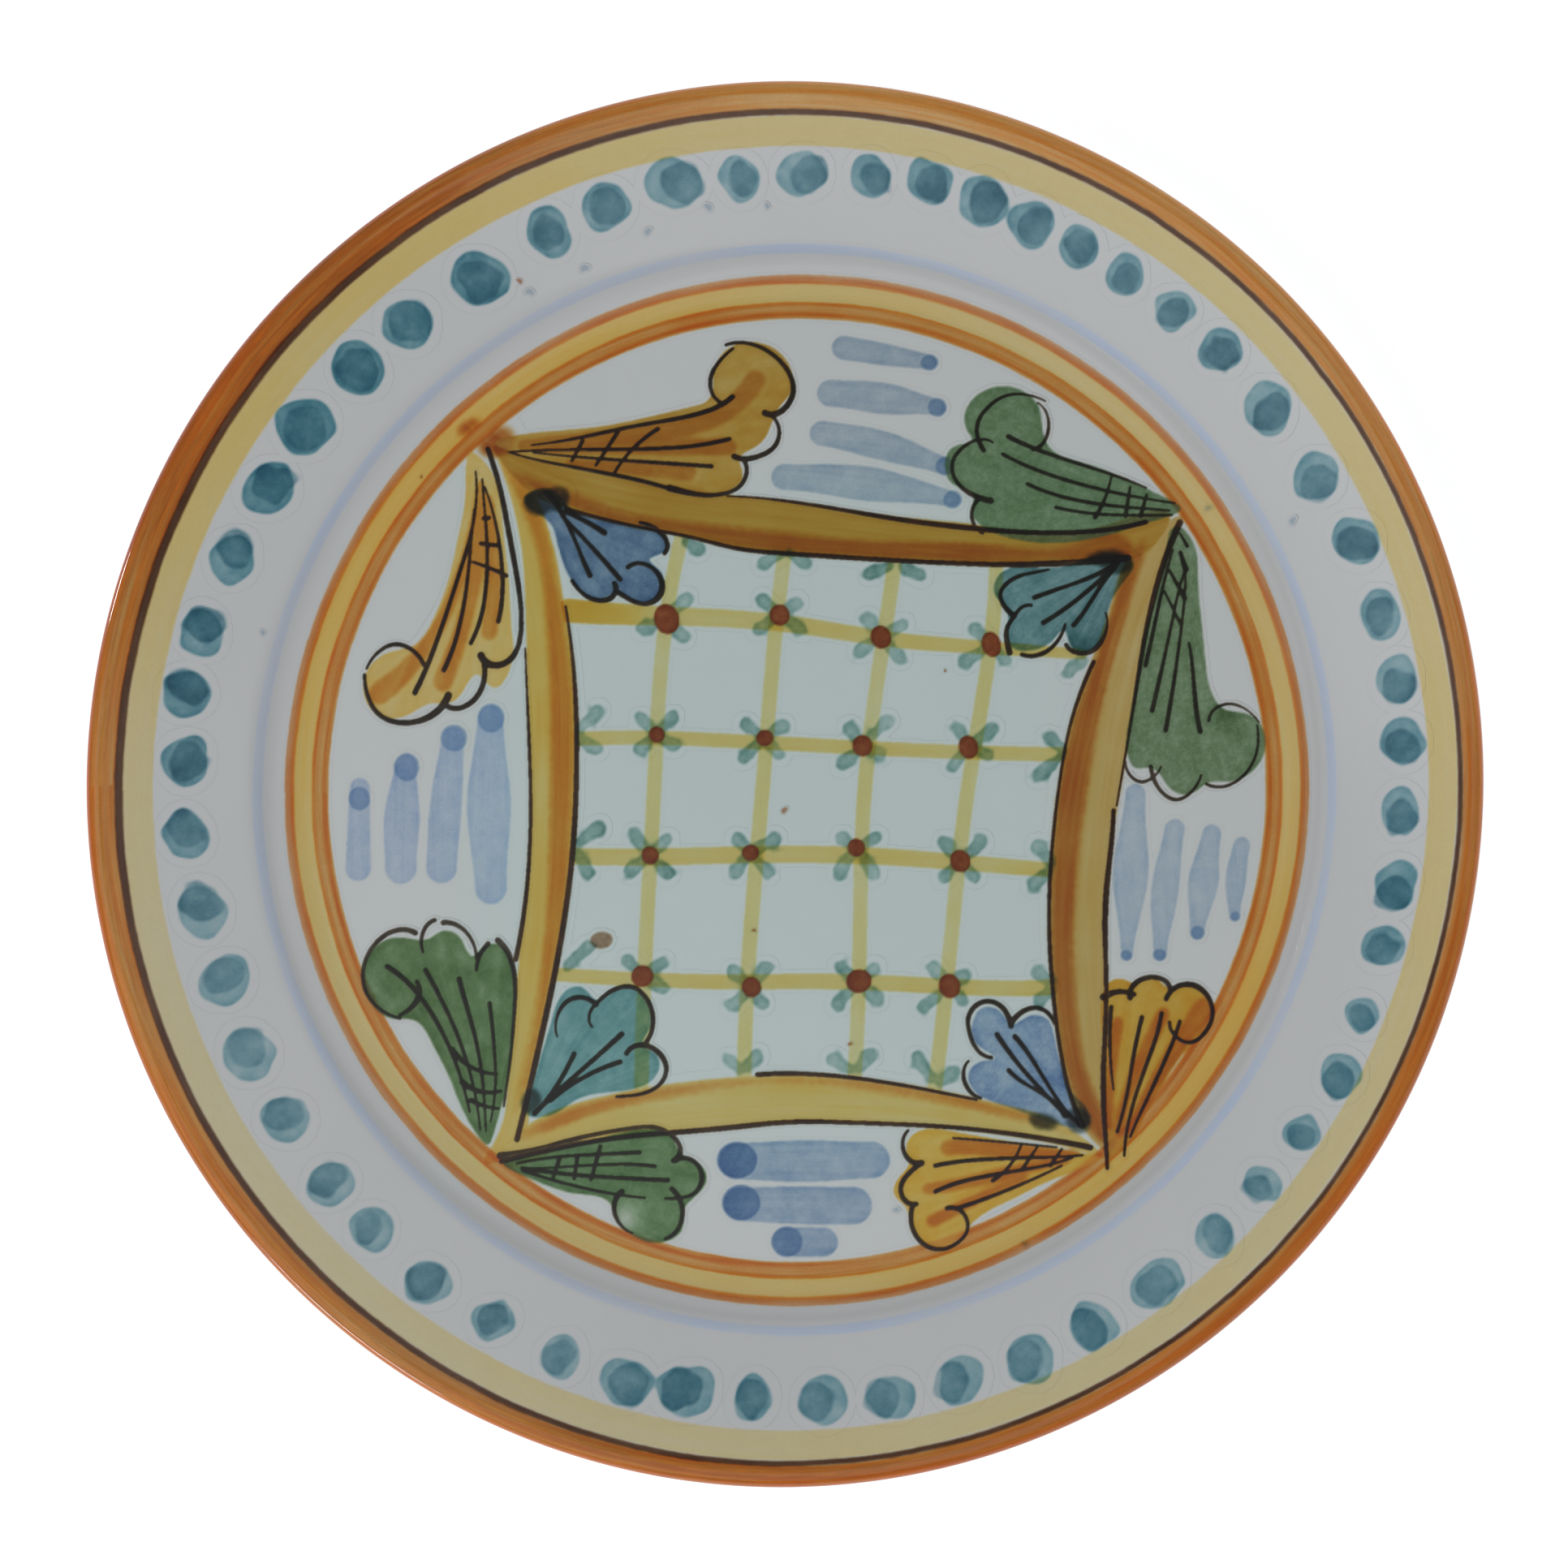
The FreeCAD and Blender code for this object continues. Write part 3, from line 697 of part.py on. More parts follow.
# ---- ink: the frame lines, then the drawing of each motif ----------------------------------
FRAME_INK = [
    ([(-43.5, 54), (-36, 51.9), (-28, 50.1), (-20, 48.5), (-10, 46), (0, 44.9), (15, 43.8),
      (30, 42.9), (45, 42.4), (57, 42.8), (66, 43.5)], (.9, .7, .9, 1.0, .9, 1.2, 1.4)),
    ([(-12, 56.2), (5, 54.3), (20, 51.6), (35, 49.6), (50, 48.5), (62, 49), (69.4, 50.4)],
     (.4, .8, 1.1, 1.0, 1.0)),
    ([(76, 50.3), (73.8, 45), (71, 36), (68.6, 25), (67.2, 16), (66, 9), (65.2, 4), (64.4, -0.4),
      (63.7, -4.3)], (1.3, 1.2, 1.0, .8, .5, .4)),
    ([(63.1, -5.2), (62.4, -14), (61.6, -22), (61.5, -32), (61.6, -42), (61.3, -50),
      (61, -58), (61.3, -66), (61.8, -74)], (.9, 1.2, .9, 1.1, .8)),
    ([(59.3, 23.5), (56.5, 17), (54.4, 10), (52.9, 2), (51.6, -8), (50.7, -20), (50.7, -32),
      (51.5, -42), (52.8, -52), (54.7, -60), (57, -66)], (.9, .6, .7, .9, .8, 1.0)),
    ([(58.5, -70), (50, -68.4), (38, -66.7), (25, -65.7), (12, -65.2), (0, -65.1), (-12, -66.2),
      (-24, -67.2), (-36, -68.4), (-46, -70.2), (-56, -72.6)], (1.2, .9, .9, 1.1, 1.0, 1.1)),
    ([(-6, -55.9), (4, -55.8), (16, -57), (27, -58.9), (36.5, -60.8)], (1.0, .8, .6)),
    ([(-43.6, 35), (-42.2, 25), (-41.5, 15), (-41.4, 4), (-41.8, -7), (-42.6, -17), (-44.2, -28),
      (-46.2, -39), (-48.4, -49), (-50.7, -59), (-53, -68.4)], (.5, 1.0, 1.1, 1.2, 1.2, 1.1)),
    ([(-51.5, 27), (-51, 15), (-50.6, 5), (-50.4, -5), (-50.8, -15), (-51.8, -25),
      (-53.3, -33.5)], (.4, .7, .8, 1.0))]
paint("frame_ink", 5, [stroke(pts, *w) for pts, w in FRAME_INK])
for name, (wash, ink) in PALMETTES.items():
    paint("palmette_ink_" + name[5:], 5, [stroke(pts, *w) for pts, w in ink])
for name, (wash, shade, ink) in PLUMES.items():
    paint("plume_ink_" + name.split("_", 1)[1], 5, [stroke(pts, *w) for pts, w in ink])

# ---- one STEP file for each node -----------------------------------------------------------
os.makedirs("parts", exist_ok=True)
for name, solids in nodes.items():
    shape = solids[0] if len(solids) == 1 else Part.makeCompound(solids)
    shape.exportStep("parts/" + name + ".step")
    print(name, len(solids), "valid" if all(s.isValid() and s.isClosed() for s in solids) else "BAD",
          round(shape.Volume, 2))
print(len(nodes), "nodes")
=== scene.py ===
import math

import bpy
import numpy as np
from mathutils import Matrix, Vector


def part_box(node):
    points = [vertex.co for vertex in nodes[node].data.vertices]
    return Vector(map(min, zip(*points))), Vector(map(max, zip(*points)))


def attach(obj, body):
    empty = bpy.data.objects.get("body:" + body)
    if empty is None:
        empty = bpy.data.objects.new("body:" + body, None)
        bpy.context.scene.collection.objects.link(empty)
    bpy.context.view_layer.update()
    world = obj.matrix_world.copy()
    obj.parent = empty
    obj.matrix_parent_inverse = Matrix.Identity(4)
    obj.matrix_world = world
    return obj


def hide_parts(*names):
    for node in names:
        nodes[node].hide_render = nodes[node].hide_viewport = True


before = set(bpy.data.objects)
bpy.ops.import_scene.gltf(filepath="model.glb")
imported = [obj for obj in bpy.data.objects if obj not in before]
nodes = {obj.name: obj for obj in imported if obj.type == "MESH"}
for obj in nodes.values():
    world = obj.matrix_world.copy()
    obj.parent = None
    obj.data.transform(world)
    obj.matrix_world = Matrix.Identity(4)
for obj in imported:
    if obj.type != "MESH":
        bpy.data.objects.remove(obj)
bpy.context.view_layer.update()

# Hand painted plate. Colours are worked out as they are on the real thing: every brush mark is
# a wash that filters the light of what lies under it, coat after coat. Each mark is then laid
# on the glaze as a thin feathered skin that carries its own colour to the edge.

MM = 0.001
pi = math.pi
RIM_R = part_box("glaze_coat")[1][0] / MM

# ---- section of the plate, in millimetres ---------------------------------------------------
FLOOR_Z, FLOOR_R = 10.5, 94.0
WALL, GLAZE = 6.0, 0.4
CAVETTO_R, CAVETTO = 12.0, math.radians(48.0)
FLANGE_R, FLANGE = 10.0, math.radians(24.0)
LIP_R = 2.6
FOOT_OUT_R, FOOT_IN_R, FOOT_RECESS_Z, FOOT_FILLET = 80.0, 72.0, 3.8, 1.5
FOOT_BARE_Z = 1.2
BAND_CX, BAND_CY = 1.1, -0.75

C1 = (FLOOR_R, FLOOR_Z + CAVETTO_R)
C2 = (C1[0] + (CAVETTO_R + FLANGE_R) * math.sin(CAVETTO),
      C1[1] - (CAVETTO_R + FLANGE_R) * math.cos(CAVETTO))
FLANGE_START = (C2[0] - FLANGE_R * math.sin(FLANGE), C2[1] + FLANGE_R * math.cos(FLANGE))
LIP_C_R = RIM_R - LIP_R
LIP_TOP_R = LIP_C_R - LIP_R * math.sin(FLANGE)
LIP_TOP_Z = FLANGE_START[1] + (LIP_TOP_R - FLANGE_START[0]) * math.tan(FLANGE)
LIP_C = (LIP_C_R, LIP_TOP_Z - LIP_R * math.cos(FLANGE))


def height(r):
    """Glaze surface inside the rim, by distance from the middle."""
    r = np.asarray(r, float)
    hollow = C1[1] - np.sqrt(np.maximum(CAVETTO_R ** 2 - (r - C1[0]) ** 2, 0.0))
    crown = C2[1] + np.sqrt(np.maximum(FLANGE_R ** 2 - (r - C2[0]) ** 2, 0.0))
    slope = FLANGE_START[1] + (r - FLANGE_START[0]) * math.tan(FLANGE)
    lip = LIP_C[1] + np.sqrt(np.maximum(LIP_R ** 2 - (r - LIP_C[0]) ** 2, 0.0))
    steep = C1[0] + CAVETTO_R * math.sin(CAVETTO)
    return np.select([r < FLOOR_R, r < steep, r < FLANGE_START[0], r < LIP_TOP_R],
                     [FLOOR_Z, hollow, crown, slope], lip)


# ---- noise that repeats exactly -------------------------------------------------------------
def dice(ix, iy, seed):
    h = ix.astype(np.int64) * 374761393 + iy.astype(np.int64) * 668265263 + seed * 974634777
    h = ((h ^ (h >> 13)) * 1274126177) & 0x7FFFFFFF
    return ((h ^ (h >> 15)) & 0xFFFF) / 65535.0


def noise(x, y, seed=0):
    """Smooth noise from 0 to 1, one feature to the unit."""
    ix, iy = np.floor(x), np.floor(y)
    fx, fy = x - ix, y - iy
    fx, fy = fx * fx * (3 - 2 * fx), fy * fy * (3 - 2 * fy)
    low = dice(ix, iy, seed) * (1 - fx) + dice(ix + 1, iy, seed) * fx
    high = dice(ix, iy + 1, seed) * (1 - fx) + dice(ix + 1, iy + 1, seed) * fx
    return low * (1 - fy) + high * fy


def cloud(x, y, seed=0):
    """Two octaves, from about -1 to 1."""
    coarse = noise(x, y, seed) * 2 - 1
    fine = noise(x * 2.3, y * 2.3, seed + 7) * 2 - 1
    return coarse * 0.65 + fine * 0.35


def step(lo, hi, v):
    t = np.clip((v - lo) / (hi - lo), 0.0, 1.0)
    return t * t * (3 - 2 * t)


def linear(rgb):
    c = np.asarray(rgb, float) / 255.0
    return np.where(c <= 0.04045, c / 12.92, ((c + 0.055) / 1.055) ** 2.4)


# how the bare glaze looks, and the coats that some marks were brushed over
PLAIN_WHITE = (172, 176, 177)
POOLED_WHITE = (167, 181, 182)
OVER_OCHRE = (170, 140, 70)


def through(seen, over=PLAIN_WHITE):
    """Share of light a wash lets through, from how it looks over the white it was brushed on."""
    return linear(seen) / linear(over)


# ---- the colour of the glaze, and the sheet on which the washes are worked out --------------
PX = 10                     # cells to the millimetre
HALF = 137
SIZE = 2 * HALF * PX
GLAZE_WHITE = np.array([0.615, 0.632, 0.640])


def sway(x, y):
    """Hand thrown: the face is not quite true."""
    return 0.05 * cloud(x / 46.0, y / 46.0, 3) + 0.018 * cloud(x / 13.0, y / 13.0, 5)


def glaze_tone(x, y):
    """White of the glaze: cooler where it pooled inside the frame."""
    r = np.hypot(x, y)
    pooled = 1.0 - step(50.0, 78.0, np.maximum(np.abs(x + 3) * 1.08, np.abs(y + 6)))
    floor = 1.0 - step(92.0, 101.0, r)
    mottle = cloud(x / 24.0, y / 24.0, 11)
    tone = np.empty(x.shape + (3,))
    tone[..., 0] = GLAZE_WHITE[0] * (1 - 0.055 * pooled - 0.015 * floor + 0.012 * mottle)
    tone[..., 1] = GLAZE_WHITE[1] * (1 + 0.050 * pooled + 0.010 * floor + 0.008 * mottle)
    tone[..., 2] = GLAZE_WHITE[2] * (1 + 0.035 * pooled - 0.010 * floor + 0.008 * mottle)
    return tone


axis = (np.arange(SIZE) + 0.5) / PX - HALF
GX, GY = np.meshgrid(axis.astype(np.float32), axis.astype(np.float32))
FX, FY = GX.ravel(), GY.ravel()
sheet = glaze_tone(GX, GY).astype(np.float32).reshape(-1, 3)
RAD = np.hypot(FX - BAND_CX, FY - BAND_CY)


def sample(x, y, values=None):
    """Bilinear reading of the sheet at any place."""
    values = sheet if values is None else values
    u = np.clip((x + HALF) * PX - 0.5, 0, SIZE - 1.001)
    v = np.clip((y + HALF) * PX - 0.5, 0, SIZE - 1.001)
    i, j = u.astype(int), v.astype(int)
    fu, fv = (u - i)[:, None], (v - j)[:, None]
    k = j * SIZE + i
    return ((values[k] * (1 - fu) + values[k + 1] * fu) * (1 - fv)
            + (values[k + SIZE] * (1 - fu) + values[k + SIZE + 1] * fu) * fv)


# ---- brush marks, read from the CAD nodes ---------------------------------------------------
def tops(node):
    """Upward triangles of a CAD node in plan, in millimetres."""
    me = nodes[node].data
    me.calc_loop_triangles()
    tri = np.empty(len(me.loop_triangles) * 3, np.int32)
    me.loop_triangles.foreach_get("vertices", tri)
    co = np.empty(len(me.vertices) * 3, np.float32)
    me.vertices.foreach_get("co", co)
    t = co.reshape(-1, 3)[tri.reshape(-1, 3)] / MM
    n = np.cross(t[:, 1] - t[:, 0], t[:, 2] - t[:, 0])
    return t[n[:, 2] > 0.2 * np.linalg.norm(n, axis=1)][:, :, :2].astype(float)


def stencil(tris, x0, y0, wide, tall):
    """Cells of the sheet that the triangles cover, as ones on a grid of zeros."""
    mask = np.zeros((tall, wide), np.float32)
    for a, b, c in (tris - (x0, y0)) * PX - 0.5:
        i0, i1 = max(int(min(a[0], b[0], c[0])), 0), int(max(a[0], b[0], c[0])) + 2
        j0, j1 = max(int(min(a[1], b[1], c[1])), 0), int(max(a[1], b[1], c[1])) + 2
        x = np.arange(i0, i1)[None, :]
        y = np.arange(j0, j1)[:, None]
        inside = True
        for p, q in ((a, b), (b, c), (c, a)):
            inside = inside & ((q[0] - p[0]) * (y - p[1]) - (q[1] - p[1]) * (x - p[0]) >= -0.08
                               * (abs(q[0] - p[0]) + abs(q[1] - p[1])))
        part = mask[j0:j1, i0:i1]
        part[inside[:part.shape[0], :part.shape[1]]] = 1.0
    return mask


def blur(a, k):
    """Three passes of a box, 2k+1 cells wide."""
    for axis_no in (0, 1):
        for _ in range(3):
            pad = [(k + 1, k) if d == axis_no else (0, 0) for d in (0, 1)]
            c = np.cumsum(np.pad(a, pad), axis=axis_no, dtype=np.float64)
            n = a.shape[axis_no]
            hi = np.take(c, range(2 * k + 1, 2 * k + 1 + n), axis=axis_no)
            lo = np.take(c, range(0, n), axis=axis_no)
            a = ((hi - lo) / (2 * k + 1)).astype(np.float32)
    return a


def spots_at(x, y, spots):
    """Local thickening (or thinning) of a wash: (x, y, radius, amount)."""
    total = np.zeros(x.shape)
    for sx, sy, reach, amount in spots:
        total += amount * np.exp(-((x - sx) ** 2 + (y - sy) ** 2) / (reach * reach))
    return total


def by_clock(*pairs):
    """A strength that changes round the plate: (degrees clockwise from the top, value)."""
    k = np.array([p[0] for p in pairs] + [pairs[0][0] + 360.0])
    v = np.array([p[1] for p in pairs] + [pairs[0][1]])

    def at(x, y):
        clock = np.degrees(np.arctan2(x, y)) % 360.0
        return np.interp(np.where(clock < k[0], clock + 360.0, clock), k, v)
    return at


def lay_direction(x, y, lay):
    """(along, across) the pull of the brush, in millimetres."""
    kind = lay[0]
    if kind == "turn":
        r = np.hypot(x - BAND_CX, y - BAND_CY)
        return np.arctan2(y - BAND_CY, x - BAND_CX) * 100.0, r
    if kind == "tip":                       # pulls that meet at the tip of a plume
        r = np.hypot(x - lay[1], y - lay[2])
        return r, np.arctan2(y - lay[2], x - lay[1]) * 26.0
    if kind == "bow":                       # follows the bowed side of the frame
        a, b = (x, y) if lay[1] == "x" else (y, x)
        fit = np.polyfit(a[::17], b[::17], 4)
        return a, b - np.polyval(fit, a)
    turn = math.radians(lay[1])
    return (x * math.cos(turn) + y * math.sin(turn), y * math.cos(turn) - x * math.sin(turn))


class Wash:
    """How one kind of mark was brushed.

    seen, over: the colour it reads as, and the colour it was brushed over
    strength, thick: thickness, overall and by place; each: how much single marks differ
    lay, streak, streak_size: the way the brush went, and the lines that its hairs left
    mottle, mottle_size, grain, spots: uneven thickness, from broad to fine, and by place
    pool, pool_reach: pigment gathered at the edge; soft, crisp, ragged, rag_size, thin: edge
    hides: how far it covers what lies under it; cell: mesh size in cells of the sheet
    """

    def __init__(self, seen, over=PLAIN_WHITE, strength=1.0, lay=("line", 0.0), streak=0.0,
                 streak_size=(14.0, 0.7), mottle=0.0, mottle_size=3.0, grain=0.0, pool=0.0,
                 pool_reach=8, soft=2, ragged=0.12, rag_size=0.9, crisp=0.38, thick=None,
                 spots=(), cell=3, each=0.0, thin=0.0, hides=0.0):
        self.clear = through(seen, over)
        self.__dict__.update(strength=strength, lay=lay, streak=streak, streak_size=streak_size,
                             mottle=mottle, mottle_size=mottle_size, grain=grain, pool=pool,
                             pool_reach=pool_reach, soft=soft, ragged=ragged, rag_size=rag_size,
                             crisp=crisp, thick=thick, spots=spots, cell=cell, each=each,
                             thin=thin, hides=hides)


def amount(wash, x, y, seed):
    """Thickness of the wash where it covers, about 1."""
    along, across = lay_direction(x, y, wash.lay)
    a = np.full(x.shape, wash.strength, float)
    if wash.streak:
        sx, sy = wash.streak_size
        lines = (cloud(along / sx, across / sy, seed) * 0.7
                 + cloud(along / (sx * 0.6), across / (sy * 0.37), seed + 3) * 0.5)
        a *= 1 + wash.streak * lines
    if wash.mottle:
        a *= 1 + wash.mottle * cloud(x / wash.mottle_size, y / wash.mottle_size, seed + 5)
    if wash.grain:
        fine = (noise(x / 0.32, y / 0.32, seed + 9) * 0.6
                + noise(x / 0.8, y / 0.8, seed + 13) * 0.4)
        a *= 1 + wash.grain * (fine * 2 - 1)
    if wash.thick is not None:
        a *= wash.thick(x, y)
    if wash.spots:
        a *= np.maximum(1 + spots_at(x, y, wash.spots), 0.05)
    return np.maximum(a, 0.03)


load = np.zeros(SIZE * SIZE, np.float32)


def brush(node, wash, seed):
    """Works one node's marks into the sheet, and returns where they are."""
    tris = tops(node)
    lo = np.floor((tris.reshape(-1, 2).min(0) - 2.5) * PX) / PX
    hi = np.ceil((tris.reshape(-1, 2).max(0) + 2.5) * PX) / PX
    wide, tall = (np.round((hi - lo) * PX)).astype(int)
    mask = stencil(tris, lo[0], lo[1], wide, tall)
    near = blur(mask, wash.soft)
    i0, j0 = np.round((lo + HALF) * PX).astype(int)
    rows, cols = np.nonzero(near > 0.004)
    where = (rows + j0) * SIZE + cols + i0
    x, y = FX[where].astype(float), FY[where].astype(float)
    size = wash.rag_size
    edge = near[rows, cols] + wash.ragged * (noise(x / size, y / size, seed + 21) - 0.5)
    cover = step(0.5 - wash.crisp + wash.thin, 0.5 + wash.crisp + wash.thin, edge)
    a = amount(wash, x, y, seed)
    if wash.pool:
        wide_blur = blur(mask, wash.pool_reach)[rows, cols]
        a *= 1 + wash.pool * (np.clip(1.0 - wide_blur, 0, 1) * 2.0 - 0.35)
    if wash.each:
        a *= 1 + wash.each * cloud(x / 9.0, y / 9.0, seed + 31)
    log_clear = np.log(np.maximum(wash.clear, 1e-3))[None, :]
    if wash.hides:
        own = GLAZE_WHITE[None, :] * np.exp(log_clear * a[:, None])
        k = (cover * wash.hides)[:, None]
        glazed = sheet[where] * np.exp(log_clear * (cover * a)[:, None])
        sheet[where] = glazed * (1 - k) + own * k
    else:
        sheet[where] *= np.exp(log_clear * (cover * a)[:, None])
    load[where] = np.clip(cover, 0, 1)
    return where


# ---- meshes ---------------------------------------------------------------------------------
def build(name, verts, quads, tone, loads, material, replaced):
    """One visual piece, with its colour and its load of pigment at every corner."""
    me = bpy.data.meshes.new(name)
    verts = np.asarray(verts, np.float32)
    quads = np.asarray(quads, np.int32)
    me.vertices.add(len(verts))
    me.vertices.foreach_set("co", (verts * MM).ravel())
    me.loops.add(quads.size)
    me.loops.foreach_set("vertex_index", quads.ravel())
    me.polygons.add(len(quads))
    me.polygons.foreach_set("loop_start", np.arange(0, quads.size, 4, dtype=np.int32))
    me.update(calc_edges=True)
    me.validate()
    me.polygons.foreach_set("use_smooth", np.full(len(me.polygons), True))
    colour = me.attributes.new("tone", "FLOAT_COLOR", "POINT")
    rgba = np.ones((len(verts), 4), np.float32)
    rgba[:, :3] = tone
    colour.data.foreach_set("color", rgba.ravel())
    amount_of = me.attributes.new("load", "FLOAT", "POINT")
    amount_of.data.foreach_set("value", np.asarray(loads, np.float32))
    me.materials.append(material)
    obj = bpy.data.objects.new(name, me)
    bpy.context.scene.collection.objects.link(obj)
    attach(obj, "root")
    if replaced:
        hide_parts(*replaced)


def lift_of(order):
    """Height of a skin over the glaze, in millimetres: later marks lie on earlier ones."""
    return 0.012 + 0.0022 * order


def skin(node, where, wash, order, material):
    """Lays a node's marks on the glaze as one thin feathered skin."""
    c = wash.cell
    on = np.zeros(SIZE * SIZE, bool)
    on[where] = True
    on = on.reshape(SIZE, SIZE)
    rows, cols = np.nonzero(on)
    j0, j1 = rows.min() // c * c, (rows.max() // c + 1) * c + 1
    i0, i1 = cols.min() // c * c, (cols.max() // c + 1) * c + 1
    j1, i1 = min(j1, SIZE - 1), min(i1, SIZE - 1)
    nj, ni = (j1 - j0) // c, (i1 - i0) // c
    cells = on[j0:j0 + nj * c, i0:i0 + ni * c].reshape(nj, c, ni, c).any(axis=(1, 3))
    cj, ci = np.nonzero(cells)
    wide = ni + 1
    corner = np.stack([cj * wide + ci, cj * wide + ci + 1,
                       (cj + 1) * wide + ci + 1, (cj + 1) * wide + ci], 1)
    used, quads = np.unique(corner, return_inverse=True)
    vj, vi = used // wide, used % wide
    x = (i0 + vi * c) / PX - HALF
    y = (j0 + vj * c) / PX - HALF
    z = height(np.hypot(x, y)) + sway(x, y) + lift_of(order)
    tone = sample(x, y)
    loads = sample(x, y, load[:, None])[:, 0]
    build(node + "_brushed", np.stack([x, y, z], 1), quads.reshape(-1, 4), tone, loads,
          material, [node])


def ring_quads(n_round, n_across):
    i = np.arange(n_round)[:, None]
    j = np.arange(n_across - 1)[None, :]
    a = i * n_across + j
    b = (i + 1) % n_round * n_across + j
    return np.stack([a, b, b + 1, a + 1], -1).reshape(-1, 4)


def band(node, wash, order, seed, material, n_round=1440, widen=None):
    """A line turned on the wheel: an even ring with a slightly unsteady edge."""
    co = tops(node).reshape(-1, 2)
    r = np.hypot(co[:, 0] - BAND_CX, co[:, 1] - BAND_CY)
    inner, outer = r.min(), r.max()
    feather = 0.42

    def cover(rad, ang):
        wobble = 0.10 * cloud(ang * 14.0, rad * 0 + seed, seed + 1) \
            + 0.06 * cloud(ang * 90.0, rad * 0.6, seed + 2)
        more = widen(np.cos(ang), np.sin(ang)) if widen else 0.0
        return (step(inner - feather + 0.2, inner + feather - 0.15, rad + wobble + more)
                * (1 - step(outer - feather + 0.15, outer + feather - 0.2, rad + wobble - more)))

    where = np.flatnonzero((RAD > inner - 1.4) & (RAD < outer + 1.4))
    x, y = FX[where].astype(float), FY[where].astype(float)
    ang = np.arctan2(y - BAND_CY, x - BAND_CX)
    c = cover(RAD[where], ang)
    depth = (c * amount(wash, x, y, seed))[:, None]
    sheet[where] *= np.exp(np.log(np.maximum(wash.clear, 1e-3))[None, :] * depth)
    reach = 1.1 if widen else 0.6
    rads = np.arange(inner - reach, outer + reach, 0.22)
    t = np.arange(n_round) * 2 * pi / n_round
    T, R = np.meshgrid(t, rads, indexing="ij")
    T, R = T.ravel(), R.ravel()
    x, y = BAND_CX + R * np.cos(T), BAND_CY + R * np.sin(T)
    loads = cover(R, np.where(T > pi, T - 2 * pi, T))
    z = height(np.hypot(x, y)) + sway(x, y) + lift_of(order)
    build(node + "_brushed", np.stack([x, y, z], 1), ring_quads(n_round, len(rads)),
          sample(x, y), loads, material, [node])


# ---- materials ------------------------------------------------------------------------------
def new_material(name):
    mat = bpy.data.materials.new(name)
    mat.use_nodes = True
    tree = mat.node_tree
    tree.nodes.clear()
    return mat, tree


def add(tree, kind, **values):
    """A shader node; in_Name or in_0 sets an input, anything else a property."""
    n = tree.nodes.new(kind)
    for key, value in values.items():
        if key.startswith("in_"):
            key = key[3:]
            n.inputs[int(key) if key.isdigit() else key.replace("_", " ")].default_value = value
        else:
            setattr(n, key, value)
    return n


def grained(name, grain=0.0, grain_size=0.35, blotch=0.0, blotch_size=2.5, gloss=0.13,
            matt=0.05, relief=0.0):
    """Pigment under gloss: the washed colour, its own grain, and the skin of the glaze."""
    mat, t = new_material(name)
    out = add(t, "ShaderNodeOutputMaterial")
    bsdf = add(t, "ShaderNodeBsdfPrincipled")
    t.links.new(bsdf.outputs[0], out.inputs[0])
    place = add(t, "ShaderNodeTexCoord")
    tone = add(t, "ShaderNodeAttribute", attribute_name="tone")
    cover = add(t, "ShaderNodeAttribute", attribute_name="load")

    def noise_node(size_mm, detail, distortion=0.0):
        n = add(t, "ShaderNodeTexNoise", in_Scale=1.0 / (size_mm * MM), in_Detail=detail,
                in_Roughness=0.6, in_Distortion=distortion)
        t.links.new(place.outputs["Object"], n.inputs["Vector"])
        return n.outputs["Fac"]

    def maths(op, a, b=None):
        n = add(t, "ShaderNodeMath", operation=op)
        for i, v in enumerate((a, b)):
            if v is None:
                continue
            if isinstance(v, (int, float)):
                n.inputs[i].default_value = v
            else:
                t.links.new(v, n.inputs[i])
        return n.outputs[0]

    def vary(fac, by):
        """From 1 - by to 1 + by."""
        return maths("ADD", maths("MULTIPLY", maths("SUBTRACT", fac, 0.5), 2.0 * by), 1.0)

    shade = vary(noise_node(5.0, 3.0), 0.012)
    if grain:
        speck = vary(noise_node(grain_size, 2.0), grain)
        patch = vary(noise_node(blotch_size, 3.0, 0.4), blotch)
        both = maths("MULTIPLY", speck, patch)
        both = maths("ADD", maths("MULTIPLY", maths("SUBTRACT", both, 1.0),
                                  cover.outputs["Fac"]), 1.0)
        shade = maths("MULTIPLY", shade, both)
    colour = add(t, "ShaderNodeVectorMath", operation="SCALE")
    t.links.new(tone.outputs["Color"], colour.inputs[0])
    t.links.new(shade, colour.inputs["Scale"])
    t.links.new(colour.outputs[0], bsdf.inputs["Base Color"])
    rough = maths("ADD", maths("MULTIPLY", noise_node(7.0, 3.0), 0.10), gloss)
    rough = maths("ADD", rough, maths("MULTIPLY", cover.outputs["Fac"], matt))
    t.links.new(rough, bsdf.inputs["Roughness"])
    bsdf.inputs["IOR"].default_value = 1.5
    bsdf.inputs["Specular IOR Level"].default_value = 0.34
    peel = maths("MULTIPLY", noise_node(3.2, 2.0), 0.55)
    fine = maths("MULTIPLY", noise_node(0.7, 1.0), 0.10)
    level = maths("ADD", peel, fine)
    if relief:
        level = maths("ADD", level, maths("MULTIPLY", cover.outputs["Fac"], relief))
    bump = add(t, "ShaderNodeBump", in_Strength=0.35, in_Distance=0.00006)
    t.links.new(level, bump.inputs["Height"])
    t.links.new(bump.outputs[0], bsdf.inputs["Normal"])
    return mat


